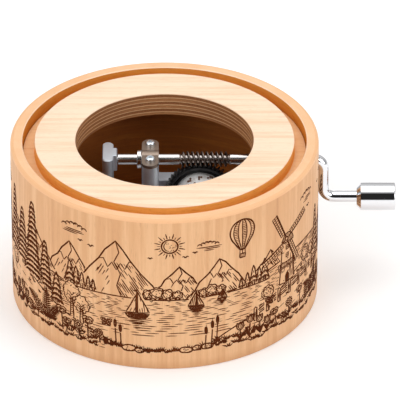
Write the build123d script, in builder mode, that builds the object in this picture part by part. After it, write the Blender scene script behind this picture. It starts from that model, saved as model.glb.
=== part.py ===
# Round hand-cranked music box: a turned wooden drum with a stepped plywood ring
# let into its top, a plywood base, and a small cylinder-and-comb movement inside.
# A worm on the crank shaft turns the wheel on the end of the pinned cylinder.
#
# Frame: millimetres, +Z up, origin at the middle of the flat underside.
# +X points to the crank. The shaft lies along X, the cylinder's arbor along Y.
import math
import os

from build123d import *

os.makedirs("parts", exist_ok=True)

# ------------------------------------------------------------------ dimensions
# wooden case
DRUM_R = 40.0            # outer radius of the drum
DRUM_H = 45.0            # height of the drum
WALL_IN_R = 34.8         # inner radius between the two rebates
REBATE_R = 36.85         # radius of the rebates that take the ring and the base
RING_T = 6.3             # plywood ring, full thickness
RING_TIER = 3.5          # depth of the ring's outer step below its top
RING_HOLE_R = 23.1       # round window
RING_STEP_R = 33.64      # raised middle of the ring
RING_R = 36.65           # ring and base, 0.2 clear of the rebate
BASE_Z0, BASE_Z1 = 0.0, 6.5
RIM_ROUND = 0.9          # rounded outer top edge
SHAFT_HOLE_R = 3.5       # hole through the wall for the crank

# crank shaft
SHAFT_Y = 8.0
SHAFT_Z = 34.1
SHAFT_R = 1.425
SHAFT_FIT = 0.05         # radial running clearance of the journals
PIVOT_R = 0.8
SHAFT_X0 = -12.3         # shoulder at the left end
PIVOT_X0 = -15.0
SHAFT_X1 = 31.2
WORM_X0, WORM_X1 = 4.2, 16.7
COLLAR_X0, COLLAR_X1, COLLAR_R = -7.25, -6.12, 2.45
HUB_X0, HUB_X1, HUB_R = 27.3, 36.0, 2.5

# worm and wheel
MODULE = 0.4
STARTS = 2
TEETH = 44
AXIAL_PITCH = math.pi * MODULE
LEAD = STARTS * AXIAL_PITCH
WORM_PITCH_R = 1.65
WORM_TIP_R = WORM_PITCH_R + MODULE
WORM_ROOT_R = WORM_PITCH_R - 1.25 * MODULE
WHEEL_PITCH_R = MODULE * TEETH / 2
WHEEL_TIP_R = WHEEL_PITCH_R + MODULE
WHEEL_ROOT_R = WHEEL_PITCH_R - 1.25 * MODULE
WHEEL_W = 2.0
PRESSURE = math.radians(20)
LEAD_ANGLE = math.atan(LEAD / (2 * math.pi * WORM_PITCH_R))
THIN = 0.15              # taken off each tooth and thread for backlash

# cylinder
CYL_X = 9.25
CYL_Z = SHAFT_Z - WHEEL_PITCH_R - WORM_PITCH_R
CYL_R = 6.5
CYL_BORE = 5.8
CYL_Y0, CYL_Y1 = -11.9, 7.7
ARBOR_R = 1.25
ARBOR_Y0, ARBOR_Y1 = -14.8, 13.2
PIN_W, PIN_L = 0.34, 0.5   # along the cylinder, and round it
PIN_TOP = 6.95

# comb
NOTES = 18
TOOTH_PITCH = 0.95
COMB_Y0 = -10.6
COMB_Y1 = COMB_Y0 + NOTES * TOOTH_PITCH
COMB_TIP_X = CYL_X + PIN_TOP + 0.07
COMB_TOP = CYL_Z + 0.5
COMB_T = 2.2
TOOTH_T = 0.65
COMB_BACK_X = 30.8
BASS_ROOT_X, TREBLE_ROOT_X = 26.0, 21.9
COMB_SCREWS = [(28.4, -7.2), (28.0, 3.0)]

# bedplate casting
PLATE_Z0, PLATE_Z1 = 11.6, 14.0
POST_W = 4.4
SADDLE_X = (-3.8, 24.7)
SADDLE_LEN = 13.2
SADDLE_TOP = SHAFT_Z + 1.1
STRAP_T = 0.85
STRAP_LEN = 13.6
SCREW_DY = 3.95
THRUST_X = (-16.3, -13.4)
THRUST_LEN = 9.6
THRUST_TOP = SHAFT_Z + 2.33
LUG_Y = (9.4, 13.6)
LUG_TOP = CYL_Z + 3.0
FRONT_Y0, FRONT_Y1 = -14.6, -12.6
FOOT_Y = -14.9
LEGS = [(-12.5, -13.0), (24.5, -12.5), (6.0, 11.8)]
LEG_R = 3.3
M3_R = 1.47
TAP_GAP = 0.03

# crank
ROD_R = 1.5
ROD_X0 = 31.4
ARM_X = 41.5
THROW = 11.4
BEND_R = 2.8
HANDLE_Z = SHAFT_Z - THROW
ROD_X1 = 58.4
KNOB_X0, KNOB_X1, KNOB_R = 50.2, 60.4, 3.675
CLIP_X0, CLIP_X1, CLIP_R = 56.4, 57.0, 2.0


def x_plane(x, y=SHAFT_Y, z=SHAFT_Z):
    """Plane facing +X at a point, with its own x along Y and its own y along Z."""
    return Plane(origin=(x, y, z), x_dir=(0, 1, 0), z_dir=(1, 0, 0))


def y_plane(y, x=CYL_X, z=CYL_Z):
    """Plane facing +Y at a point, with its own x along -X and its own y along Z."""
    return Plane(origin=(x, y, z), x_dir=(-1, 0, 0), z_dir=(0, 1, 0))


# ------------------------------------------------------------------ wooden case
with BuildPart() as drum_wall:
    with BuildSketch(Plane.XZ):
        with BuildLine():
            Polyline(
                (REBATE_R, 0), (DRUM_R, 0), (DRUM_R, DRUM_H), (REBATE_R, DRUM_H),
                (REBATE_R, DRUM_H - RING_T), (WALL_IN_R, DRUM_H - RING_T),
                (WALL_IN_R, BASE_Z1), (REBATE_R, BASE_Z1), close=True,
            )
        make_face()
    revolve(axis=Axis.Z)
    top_edges = drum_wall.edges().filter_by(GeomType.CIRCLE).group_by(Axis.Z)[-1]
    fillet(top_edges.sort_by(SortBy.RADIUS)[-1], RIM_ROUND)
    rim_edges = drum_wall.edges().filter_by(GeomType.CIRCLE).group_by(Axis.Z)[-1]
    chamfer(rim_edges.sort_by(SortBy.RADIUS)[0], 0.25)
    foot_edges = drum_wall.edges().filter_by(GeomType.CIRCLE).group_by(Axis.Z)[0]
    fillet(foot_edges.sort_by(SortBy.RADIUS)[-1], 0.4)
    with BuildSketch(x_plane(28)):
        Circle(SHAFT_HOLE_R)
    extrude(amount=14, mode=Mode.SUBTRACT)
drum_wall.part.label = "drum_wall"
export_step(drum_wall.part, "parts/drum_wall.step")

with BuildPart() as top_ring:
    ring_z0 = DRUM_H - RING_T
    with BuildSketch(Plane.XZ):
        with BuildLine():
            Polyline(
                (RING_HOLE_R, ring_z0), (RING_R, ring_z0), (RING_R, DRUM_H - RING_TIER),
                (RING_STEP_R, DRUM_H - RING_TIER), (RING_STEP_R, DRUM_H),
                (RING_HOLE_R, DRUM_H), close=True,
            )
        make_face()
    revolve(axis=Axis.Z)
    fillet(top_ring.edges().filter_by(GeomType.CIRCLE).group_by(Axis.Z)[-1], 0.2)
top_ring.part.label = "top_ring"
export_step(top_ring.part, "parts/top_ring.step")

with BuildPart() as base_disc:
    with BuildSketch(Plane.XY.offset(BASE_Z0)):
        Circle(RING_R)
    extrude(amount=BASE_Z1 - BASE_Z0)
    chamfer(base_disc.edges().filter_by(GeomType.CIRCLE).group_by(Axis.Z)[0], 0.3)
    with Locations(*[Location((x, y, BASE_Z0), (180, 0, 0)) for x, y in LEGS]):
        CounterSinkHole(radius=1.62, counter_sink_radius=2.95, depth=BASE_Z1, counter_sink_angle=90)
base_disc.part.label = "base_disc"
export_step(base_disc.part, "parts/base_disc.step")

# Three countersunk screws come up through the base into the legs of the casting.
with BuildPart() as movement_screws:
    with BuildSketch(Plane.XY.offset(BASE_Z0 + 0.05)):
        with Locations(*LEGS):
            Circle(2.86)
    extrude(amount=1.39, taper=45)
    with BuildSketch(Plane.XY.offset(BASE_Z0 + 0.3)):
        with Locations(*LEGS):
            Circle(M3_R)
    extrude(amount=11.3)
    with BuildSketch(Plane.XY.offset(BASE_Z0 + 0.05)):
        with Locations(*LEGS):
            Rectangle(2.8, 0.6)
            Rectangle(0.6, 2.8)
    extrude(amount=0.9, mode=Mode.SUBTRACT)
movement_screws.part.label = "movement_screws"
export_step(movement_screws.part, "parts/movement_screws.step")

# ------------------------------------------------------------------ casting
with BuildPart() as bedplate:
    with BuildSketch(Plane.XY.offset(PLATE_Z0)):
        with BuildLine():
            Polyline(
                (-17.5, -15.5), (-14.5, -18.5), (22.5, -18.5), (31.3, -12.4),
                (31.3, 9.0), (27.0, 15.6), (-14.5, 15.6), (-17.5, 12.6), close=True,
            )
        make_face()
    extrude(amount=PLATE_Z1 - PLATE_Z0)
    fillet(bedplate.edges().filter_by(Axis.Z), 1.4)
    chamfer(bedplate.faces().sort_by(Axis.Z)[-1].edges(), 0.3)
    # legs that stand on the base
    with BuildSketch(Plane.XY.offset(BASE_Z1)):
        with Locations(*LEGS):
            Circle(LEG_R)
    extrude(amount=PLATE_Z0 - BASE_Z1 + 0.5)
    # post that takes the thrust of the shaft's left end
    with BuildSketch(Plane.XY.offset(PLATE_Z1 - 0.5)):
        with Locations(((THRUST_X[0] + THRUST_X[1]) / 2, SHAFT_Y)):
            SlotOverall(THRUST_LEN, THRUST_X[1] - THRUST_X[0], rotation=90)
    extrude(amount=THRUST_TOP - PLATE_Z1 + 0.5)
    # nib on the thrust post, facing the shaft's end
    with BuildSketch(Plane.XY.offset(SHAFT_Z - 2.4)):
        with Locations((THRUST_X[1] + 0.1, SHAFT_Y)):
            RectangleRounded(1.7, 3.9, 0.35)
    extrude(amount=THRUST_TOP - SHAFT_Z + 2.4)
    chamfer(bedplate.faces().sort_by(Axis.Z)[-1].edges(), 0.2)
    # saddle post left of the worm
    with BuildSketch(Plane.XY.offset(PLATE_Z1 - 0.5)):
        with Locations((SADDLE_X[0], SHAFT_Y)):
            SlotOverall(SADDLE_LEN, POST_W, rotation=90)
    extrude(amount=SADDLE_TOP - PLATE_Z1 + 0.5)
    # saddle post right of the worm; its head hangs over the end of the comb
    with BuildSketch(Plane.XY.offset(29.0)):
        with Locations((SADDLE_X[1], SHAFT_Y)):
            SlotOverall(SADDLE_LEN, POST_W, rotation=90)
    extrude(amount=SADDLE_TOP - 29.0)
    with BuildSketch(Plane.XY.offset(PLATE_Z1 - 0.5)):
        with Locations((SADDLE_X[1], SHAFT_Y)):
            SlotOverall(SADDLE_LEN, POST_W, rotation=90)
        with Locations((SADDLE_X[1], 2.2)):
            Rectangle(POST_W + 1, 10.0, mode=Mode.SUBTRACT)
    extrude(amount=29.5 - PLATE_Z1 + 0.5)
    # rear bearing lug of the cylinder's arbor, joined to the left saddle post
    with BuildSketch(Plane.XY.offset(PLATE_Z1 - 0.5)):
        with Locations((5.6, (LUG_Y[0] + LUG_Y[1]) / 2)):
            RectangleRounded(17.4, LUG_Y[1] - LUG_Y[0], 0.5)
    extrude(amount=LUG_TOP - PLATE_Z1 + 0.5)
    # bed under the comb
    with BuildSketch(Plane.XY.offset(PLATE_Z1 - 0.5)):
        with BuildLine():
            Polyline(
                (BASS_ROOT_X + 0.5, COMB_Y0), (TREBLE_ROOT_X + 0.5, COMB_Y1),
                (COMB_BACK_X, COMB_Y1), (COMB_BACK_X, COMB_Y0), close=True,
            )
        make_face()
    extrude(amount=COMB_TOP - COMB_T - PLATE_Z1 + 0.5)
    # half-round saddles, open upwards
    for saddle_x in SADDLE_X:
        with BuildSketch(x_plane(saddle_x - POST_W / 2 - 0.5)):
            Circle(SHAFT_R + SHAFT_FIT)
            with Locations((0, 1.5)):
                Rectangle(2 * (SHAFT_R + SHAFT_FIT), 3.0)
        extrude(amount=POST_W + 1.0, mode=Mode.SUBTRACT)
    with BuildSketch(Plane.XY.offset(SADDLE_TOP)):
        with Locations(*[(x, SHAFT_Y + s * SCREW_DY) for x in SADDLE_X for s in (-1, 1)]):
            Circle(0.78 + TAP_GAP)
    extrude(amount=-5.0, mode=Mode.SUBTRACT)
    # blind pivot hole
    with BuildSketch(x_plane(PIVOT_X0 - 0.2)):
        Circle(PIVOT_R + SHAFT_FIT)
    extrude(amount=3.5, mode=Mode.SUBTRACT)
    # arbor bearing
    with BuildSketch(y_plane(LUG_Y[0] - 0.5)):
        Circle(ARBOR_R + SHAFT_FIT)
    extrude(amount=5.4, mode=Mode.SUBTRACT)
    # tapped holes for the base screws, comb screws and front bearing screws
    with BuildSketch(Plane.XY.offset(BASE_Z1)):
        with Locations(*LEGS):
            Circle(M3_R + TAP_GAP)
    extrude(amount=6.0, mode=Mode.SUBTRACT)
    with BuildSketch(Plane.XY.offset(COMB_TOP - COMB_T)):
        with Locations(*COMB_SCREWS):
            Circle(1.2 + TAP_GAP)
    extrude(amount=-4.5, mode=Mode.SUBTRACT)
    with BuildSketch(Plane.XY.offset(PLATE_Z1)):
        with Locations((CYL_X - 6.9, FOOT_Y), (CYL_X + 6.9, FOOT_Y)):
            Circle(0.95 + TAP_GAP)
    extrude(amount=-4.0, mode=Mode.SUBTRACT)
bedplate.part.label = "bedplate"
export_step(bedplate.part, "parts/bedplate.step")

# Pressed strap with a hump, screwed down over the shaft.
with BuildPart() as shaft_strap:
    hump_r0 = SHAFT_R + SHAFT_FIT
    hump_r1 = hump_r0 + STRAP_T
    low = SADDLE_TOP - SHAFT_Z
    high = low + STRAP_T
    in_y = math.sqrt(hump_r0**2 - low**2)
    out_y = math.sqrt(hump_r1**2 - high**2)
    half = STRAP_LEN / 2
    with BuildSketch(x_plane(SADDLE_X[0] - POST_W / 2)):
        with BuildLine():
            Line((-half, low), (-in_y, low))
            ThreePointArc((-in_y, low), (0, hump_r0), (in_y, low))
            Polyline((in_y, low), (half, low), (half, high), (out_y, high))
            ThreePointArc((out_y, high), (0, hump_r1), (-out_y, high))
            Polyline((-out_y, high), (-half, high), (-half, low))
        make_face()
    extrude(amount=POST_W)
    with BuildSketch(Plane.XY.offset(SHAFT_Z)):
        with Locations((SADDLE_X[0], SHAFT_Y)):
            SlotOverall(STRAP_LEN, POST_W, rotation=90)
    extrude(amount=4.0, mode=Mode.INTERSECT)
    with BuildSketch(Plane.XY.offset(SHAFT_Z)):
        with Locations((SADDLE_X[0], SHAFT_Y - SCREW_DY), (SADDLE_X[0], SHAFT_Y + SCREW_DY)):
            Circle(0.9)
    extrude(amount=4.0, mode=Mode.SUBTRACT)
shaft_strap.part.label = "shaft_strap"
export_step(shaft_strap.part, "parts/shaft_strap.step")

with BuildPart() as outer_shaft_strap:
    add(shaft_strap.part.moved(Location((SADDLE_X[1] - SADDLE_X[0], 0, 0))))
outer_shaft_strap.part.label = "outer_shaft_strap"
export_step(outer_shaft_strap.part, "parts/outer_shaft_strap.step")

with BuildPart() as strap_screws:
    strap_spots = [(x, SHAFT_Y + s * SCREW_DY) for x in SADDLE_X for s in (-1, 1)]
    strap_top = SADDLE_TOP + STRAP_T
    with BuildSketch(Plane.XY.offset(strap_top)):
        with Locations(*strap_spots):
            Circle(1.3)
    extrude(amount=1.1)
    fillet(strap_screws.edges().filter_by(GeomType.CIRCLE).group_by(Axis.Z)[-1], 0.55)
    with BuildSketch(Plane.XY.offset(SADDLE_TOP - 4.5)):
        with Locations(*strap_spots):
            Circle(0.78)
    extrude(amount=STRAP_T + 4.6)
    with BuildSketch(Plane.XY.offset(strap_top + 1.1)):
        with Locations(*strap_spots):
            Rectangle(0.95, 0.22)
            Rectangle(0.22, 0.95)
    extrude(amount=-0.35, mode=Mode.SUBTRACT)
strap_screws.part.label = "strap_screws"
export_step(strap_screws.part, "parts/strap_screws.step")

# Front bearing of the arbor: a foot with an upright, screwed to the plate.
with BuildPart() as front_bearing:
    with BuildSketch(Plane.XY.offset(PLATE_Z1)):
        with Locations((CYL_X, FOOT_Y)):
            RectangleRounded(18.0, 4.4, 0.8)
    extrude(amount=1.6)
    with BuildSketch(y_plane(FRONT_Y0)):
        Circle(3.9)
        with Locations((0, (PLATE_Z1 - CYL_Z) / 2)):
            Rectangle(7.8, CYL_Z - PLATE_Z1)
    extrude(amount=FRONT_Y1 - FRONT_Y0)
    with BuildSketch(y_plane(FRONT_Y0 - 0.5)):
        Circle(ARBOR_R + SHAFT_FIT)
    extrude(amount=3.0, mode=Mode.SUBTRACT)
    with BuildSketch(Plane.XY.offset(PLATE_Z1)):
        with Locations((CYL_X - 6.9, FOOT_Y), (CYL_X + 6.9, FOOT_Y)):
            Circle(1.05)
    extrude(amount=1.6, mode=Mode.SUBTRACT)
front_bearing.part.label = "front_bearing"
export_step(front_bearing.part, "parts/front_bearing.step")

with BuildPart() as bearing_screws:
    with BuildSketch(Plane.XY.offset(PLATE_Z1 + 1.6)):
        with Locations((CYL_X - 6.9, FOOT_Y), (CYL_X + 6.9, FOOT_Y)):
            Circle(1.6)
    extrude(amount=1.0)
    fillet(bearing_screws.edges().filter_by(GeomType.CIRCLE).group_by(Axis.Z)[-1], 0.35)
    with BuildSketch(Plane.XY.offset(PLATE_Z1 - 3.5)):
        with Locations((CYL_X - 6.9, FOOT_Y), (CYL_X + 6.9, FOOT_Y)):
            Circle(0.95)
    extrude(amount=5.2)
    with BuildSketch(Plane.XY.offset(PLATE_Z1 + 2.6)):
        with Locations((CYL_X - 6.9, FOOT_Y), (CYL_X + 6.9, FOOT_Y)):
            Rectangle(1.7, 0.34)
            Rectangle(0.34, 1.7)
    extrude(amount=-0.5, mode=Mode.SUBTRACT)
bearing_screws.part.label = "bearing_screws"
export_step(bearing_screws.part, "parts/bearing_screws.step")

# ------------------------------------------------------------------ comb
tooth_ys = [COMB_Y0 + TOOTH_PITCH * (i + 0.5) for i in range(NOTES)]
root_slope = (TREBLE_ROOT_X - BASS_ROOT_X) / (COMB_Y1 - COMB_Y0)

with BuildPart() as comb:
    with BuildSketch(Plane.XY.offset(COMB_TOP - COMB_T)):
        with BuildLine():
            Polyline(
                (BASS_ROOT_X, COMB_Y0), (TREBLE_ROOT_X, COMB_Y1),
                (COMB_BACK_X, COMB_Y1), (COMB_BACK_X, COMB_Y0), close=True,
            )
        make_face()
    extrude(amount=COMB_T)
    chamfer(comb.faces().sort_by(Axis.Z)[-1].edges(), 0.2)
    for y in tooth_ys:
        x_root = BASS_ROOT_X + root_slope * (y - COMB_Y0) + 1.0
        with BuildSketch(Plane.XY.offset(COMB_TOP - TOOTH_T - 0.2)):
            with BuildLine():
                Polyline(
                    (COMB_TIP_X, y - 0.17), (COMB_TIP_X + 1.0, y - 0.34), (x_root, y - 0.34),
                    (x_root, y + 0.34), (COMB_TIP_X + 1.0, y + 0.34), (COMB_TIP_X, y + 0.17),
                    close=True,
                )
            make_face()
        extrude(amount=TOOTH_T)
    with BuildSketch(Plane.XY.offset(COMB_TOP - COMB_T)):
        with Locations(*COMB_SCREWS):
            Circle(1.35)
    extrude(amount=COMB_T, mode=Mode.SUBTRACT)
comb.part.label = "comb"
export_step(comb.part, "parts/comb.step")

# Lead weights under the lower-pitched teeth.
with BuildPart() as comb_weights:
    for i, y in enumerate(tooth_ys[:9]):
        deep = 2.3 - 0.18 * i
        long = 3.4 - 0.2 * i
        with BuildSketch(Plane.XY.offset(COMB_TOP - TOOTH_T - 0.2)):
            with Locations((COMB_TIP_X + 1.4 + long / 2, y)):
                Rectangle(long, 0.6)
        extrude(amount=-deep)
comb_weights.part.label = "comb_weights"
export_step(comb_weights.part, "parts/comb_weights.step")

with BuildPart() as comb_screws:
    with BuildSketch(Plane.XY.offset(COMB_TOP)):
        with Locations(*COMB_SCREWS):
            Circle(2.3)
    extrude(amount=1.5)
    fillet(comb_screws.edges().filter_by(GeomType.CIRCLE).group_by(Axis.Z)[-1], 0.5)
    with BuildSketch(Plane.XY.offset(COMB_TOP - COMB_T - 4.0)):
        with Locations(*COMB_SCREWS):
            Circle(1.2)
    extrude(amount=COMB_T + 4.2)
    with BuildSketch(Plane.XY.offset(COMB_TOP + 1.5)):
        with Locations(*COMB_SCREWS):
            Rectangle(6.0, 0.6)
    extrude(amount=-0.7, mode=Mode.SUBTRACT)
comb_screws.part.label = "comb_screws"
export_step(comb_screws.part, "parts/comb_screws.step")

# ------------------------------------------------------------------ cylinder
# Raised pins in 18 tracks, 72 steps round, some of them in short rows.
PIN_STEPS = 72
pin_places = []
for i in range(NOTES):
    for s in range(PIN_STEPS):
        if (s * s * 3 + s * i * 5 + i * 7) % 41 in (3, 8, 16) or (s + 5 * i) % 31 in (4, 5):
            pin_places.append((tooth_ys[i], 2 * math.pi * (s + 0.5) / PIN_STEPS))

with BuildPart() as pinned_cylinder:
    with BuildSketch(y_plane(CYL_Y0)):
        Circle(CYL_R)
        Circle(CYL_BORE, mode=Mode.SUBTRACT)
    extrude(amount=CYL_Y1 - CYL_Y0)
    pin_planes = [
        Plane(
            origin=(CYL_X + 6.2 * math.cos(a), y, CYL_Z + 6.2 * math.sin(a)),
            x_dir=(0, 1, 0), z_dir=(math.cos(a), 0, math.sin(a)),
        )
        for y, a in pin_places
    ]
    with Locations(*pin_planes):
        Box(PIN_W, PIN_L, PIN_TOP - 6.2, align=(Align.CENTER, Align.CENTER, Align.MIN))
pinned_cylinder.part.label = "pinned_cylinder"
export_step(pinned_cylinder.part, "parts/pinned_cylinder.step")

with BuildPart() as cylinder_cap:
    with BuildSketch(y_plane(CYL_Y0 - 0.5)):
        Circle(CYL_R)
    extrude(amount=0.5)
    with BuildSketch(y_plane(CYL_Y0)):
        Circle(CYL_BORE - TAP_GAP)
    extrude(amount=1.6)
    with BuildSketch(y_plane(CYL_Y0 - 0.5)):
        Circle(5.2)
        Circle(2.6, mode=Mode.SUBTRACT)
    extrude(amount=0.6, mode=Mode.SUBTRACT)
    with BuildSketch(y_plane(CYL_Y0 - 0.5)):
        Circle(ARBOR_R)
    extrude(amount=3.0, mode=Mode.SUBTRACT)
cylinder_cap.part.label = "cylinder_cap"
export_step(cylinder_cap.part, "parts/cylinder_cap.step")

with BuildPart() as cylinder_arbor:
    with BuildSketch(y_plane(ARBOR_Y0)):
        Circle(ARBOR_R)
    extrude(amount=ARBOR_Y1 - ARBOR_Y0)
    chamfer(cylinder_arbor.edges().filter_by(GeomType.CIRCLE), 0.2)
cylinder_arbor.part.label = "cylinder_arbor"
export_step(cylinder_arbor.part, "parts/cylinder_arbor.step")

# Toothed outline of the wheel; the teeth lean across its width by the worm's lead.
wheel_base_r = WHEEL_PITCH_R * math.cos(PRESSURE)
wheel_half = (AXIAL_PITCH / 2 - THIN) / (2 * WHEEL_PITCH_R) + math.tan(PRESSURE) - PRESSURE
flank = []
for r in (WHEEL_ROOT_R, WHEEL_PITCH_R - 0.05, WHEEL_TIP_R):
    slant = math.acos(min(1.0, wheel_base_r / r))
    flank.append((r, wheel_half - (math.tan(slant) - slant)))
wheel_points = []
for k in range(TEETH):
    middle = 2 * math.pi * k / TEETH
    for r, h in flank:
        wheel_points.append((r * math.cos(middle - h), r * math.sin(middle - h)))
    for r, h in reversed(flank):
        wheel_points.append((r * math.cos(middle + h), r * math.sin(middle + h)))
lean = WHEEL_W * math.tan(LEAD_ANGLE) / WHEEL_PITCH_R

with BuildPart() as drive_wheel:
    for side in (-1, 1):
        turn = side * lean / 2
        end_plane = Plane(
            origin=(CYL_X, SHAFT_Y + side * WHEEL_W / 2, CYL_Z),
            x_dir=(-math.cos(turn), 0, math.sin(turn)), z_dir=(0, 1, 0),
        )
        with BuildSketch(end_plane):
            with BuildLine():
                Polyline(*wheel_points, close=True)
            make_face()
    loft(ruled=True)
    # front: plain rim inside the teeth, the recess that the cylinder stands in, and a
    # deeper groove round the recess's floor
    with BuildSketch(y_plane(SHAFT_Y - WHEEL_W / 2 - 0.4)):
        Circle(8.5)
    extrude(amount=0.6)
    with BuildSketch(y_plane(SHAFT_Y - WHEEL_W / 2 - 0.4)):
        Circle(7.8)
    extrude(amount=CYL_Y1 - SHAFT_Y + WHEEL_W / 2 + 0.4, mode=Mode.SUBTRACT)
    with BuildSketch(y_plane(CYL_Y1)):
        Circle(7.6)
        Circle(7.0, mode=Mode.SUBTRACT)
    extrude(amount=0.6, mode=Mode.SUBTRACT)
    # spigot inside the cylinder
    with BuildSketch(y_plane(CYL_Y1 - 1.6)):
        Circle(CYL_BORE - TAP_GAP)
    extrude(amount=1.8)
    # dished back
    with BuildSketch(y_plane(SHAFT_Y + WHEEL_W / 2)):
        Circle(6.9)
        Circle(2.8, mode=Mode.SUBTRACT)
    extrude(amount=-0.6, mode=Mode.SUBTRACT)
    with BuildSketch(y_plane(CYL_Y1 - 2.0)):
        Circle(ARBOR_R)
    extrude(amount=6.0, mode=Mode.SUBTRACT)
drive_wheel.part.label = "drive_wheel"
export_step(drive_wheel.part, "parts/drive_wheel.step")

# ------------------------------------------------------------------ worm shaft
# Below the shaft, the middle of a thread gap faces the wheel's topmost tooth.
half_tip = (AXIAL_PITCH / 2 - THIN) / 2 - MODULE * math.tan(PRESSURE)
half_root = (AXIAL_PITCH / 2 - THIN) / 2 + (1.25 * MODULE + 0.1) * math.tan(PRESSURE)
steps_back = math.ceil((CYL_X + AXIAL_PITCH / 2 - WORM_X0 + 0.8) / AXIAL_PITCH)
thread_x0 = CYL_X + AXIAL_PITCH / 2 - steps_back * AXIAL_PITCH
thread_len = WORM_X1 - thread_x0 + 0.8

with BuildPart() as worm_shaft:
    for start in range(STARTS):
        axis_point = Vector(thread_x0 - start * AXIAL_PITCH, SHAFT_Y, SHAFT_Z)
        with BuildLine() as thread_path:
            Helix(
                LEAD, thread_len + start * AXIAL_PITCH, WORM_PITCH_R,
                center=axis_point, direction=(1, 0, 0),
            )
        begin = thread_path.edges()[0] @ 0
        out = (begin - axis_point).normalized()
        with BuildSketch(Plane(origin=begin, x_dir=(1, 0, 0), z_dir=Vector(1, 0, 0).cross(out))):
            with BuildLine():
                Polyline(
                    (-half_root, -1.25 * MODULE - 0.1), (-half_tip, MODULE),
                    (half_tip, MODULE), (half_root, -1.25 * MODULE - 0.1),
                    close=True,
                )
            make_face()
        sweep(path=thread_path.wires()[0], is_frenet=True)
    # thread ends chamfered to the length of the worm
    with BuildSketch(Plane(origin=(0, SHAFT_Y, SHAFT_Z), x_dir=(1, 0, 0), z_dir=(0, -1, 0))):
        with BuildLine():
            Polyline(
                (WORM_X0, 0), (WORM_X0, 1.3), (WORM_X0 + 0.7, 2.2), (WORM_X1 - 0.7, 2.2),
                (WORM_X1, 1.3), (WORM_X1, 0), close=True,
            )
        make_face()
    revolve(axis=Axis((0, SHAFT_Y, SHAFT_Z), (1, 0, 0)), mode=Mode.INTERSECT)
    # core of the worm, journals and pivot
    with BuildSketch(Plane(origin=(0, SHAFT_Y, SHAFT_Z), x_dir=(1, 0, 0), z_dir=(0, -1, 0))):
        with BuildLine():
            Polyline(
                (PIVOT_X0, 0), (PIVOT_X0, PIVOT_R - 0.15), (PIVOT_X0 + 0.15, PIVOT_R),
                (SHAFT_X0, PIVOT_R), (SHAFT_X0, SHAFT_R - 0.15), (SHAFT_X0 + 0.15, SHAFT_R),
                (WORM_X0 - 0.4, SHAFT_R), (WORM_X0, WORM_ROOT_R), (WORM_X1, WORM_ROOT_R),
                (WORM_X1 + 0.4, SHAFT_R), (SHAFT_X1 - 0.2, SHAFT_R), (SHAFT_X1, SHAFT_R - 0.2),
                (SHAFT_X1, 0), close=True,
            )
        make_face()
    revolve(axis=Axis((0, SHAFT_Y, SHAFT_Z), (1, 0, 0)))
worm_shaft.part.label = "worm_shaft"
export_step(worm_shaft.part, "parts/worm_shaft.step")

with BuildPart() as shaft_collar:
    with BuildSketch(x_plane(COLLAR_X0)):
        Circle(COLLAR_R)
        Circle(SHAFT_R, mode=Mode.SUBTRACT)
    extrude(amount=COLLAR_X1 - COLLAR_X0)
    collar_rims = shaft_collar.edges().filter_by(GeomType.CIRCLE).sort_by(SortBy.RADIUS)[-2:]
    chamfer(collar_rims, 0.12)
shaft_collar.part.label = "shaft_collar"
export_step(shaft_collar.part, "parts/shaft_collar.step")

# Socket that joins the crank rod to the end of the worm shaft.
with BuildPart() as crank_socket:
    with BuildSketch(x_plane(HUB_X0)):
        Circle(HUB_R)
    extrude(amount=HUB_X1 - HUB_X0)
    chamfer(crank_socket.edges().filter_by(GeomType.CIRCLE), 0.3)
    with BuildSketch(x_plane(HUB_X0)):
        Circle(SHAFT_R)
    extrude(amount=ROD_X0 - HUB_X0, mode=Mode.SUBTRACT)
    with BuildSketch(x_plane(ROD_X0)):
        Circle(ROD_R)
    extrude(amount=HUB_X1 - ROD_X0, mode=Mode.SUBTRACT)
crank_socket.part.label = "crank_socket"
export_step(crank_socket.part, "parts/crank_socket.step")

# ------------------------------------------------------------------ crank
with BuildPart() as crank_rod:
    with BuildLine(Plane(origin=(0, SHAFT_Y, 0), x_dir=(1, 0, 0), z_dir=(0, -1, 0))) as rod_path:
        FilletPolyline(
            (ROD_X0, SHAFT_Z), (ARM_X, SHAFT_Z), (ARM_X, HANDLE_Z), (ROD_X1, HANDLE_Z),
            radius=BEND_R,
        )
    with BuildSketch(x_plane(ROD_X0)):
        Circle(ROD_R)
    sweep(path=rod_path.wires()[0])
    rod_ends = crank_rod.faces().filter_by(Plane.YZ).edges()
    chamfer(rod_ends, 0.2)
    # groove for the clip
    with BuildSketch(x_plane(CLIP_X0, z=HANDLE_Z)):
        Circle(ROD_R + 0.5)
        Circle(1.2, mode=Mode.SUBTRACT)
    extrude(amount=CLIP_X1 - CLIP_X0, mode=Mode.SUBTRACT)
crank_rod.part.label = "crank_rod"
export_step(crank_rod.part, "parts/crank_rod.step")

with BuildPart() as knob_clip:
    with BuildSketch(x_plane(CLIP_X0, z=HANDLE_Z)):
        Circle(CLIP_R)
        Circle(1.2, mode=Mode.SUBTRACT)
        with Locations((0, -1.6)):
            Rectangle(0.7, 1.6, mode=Mode.SUBTRACT)
    extrude(amount=CLIP_X1 - CLIP_X0)
knob_clip.part.label = "knob_clip"
export_step(knob_clip.part, "parts/knob_clip.step")

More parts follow.
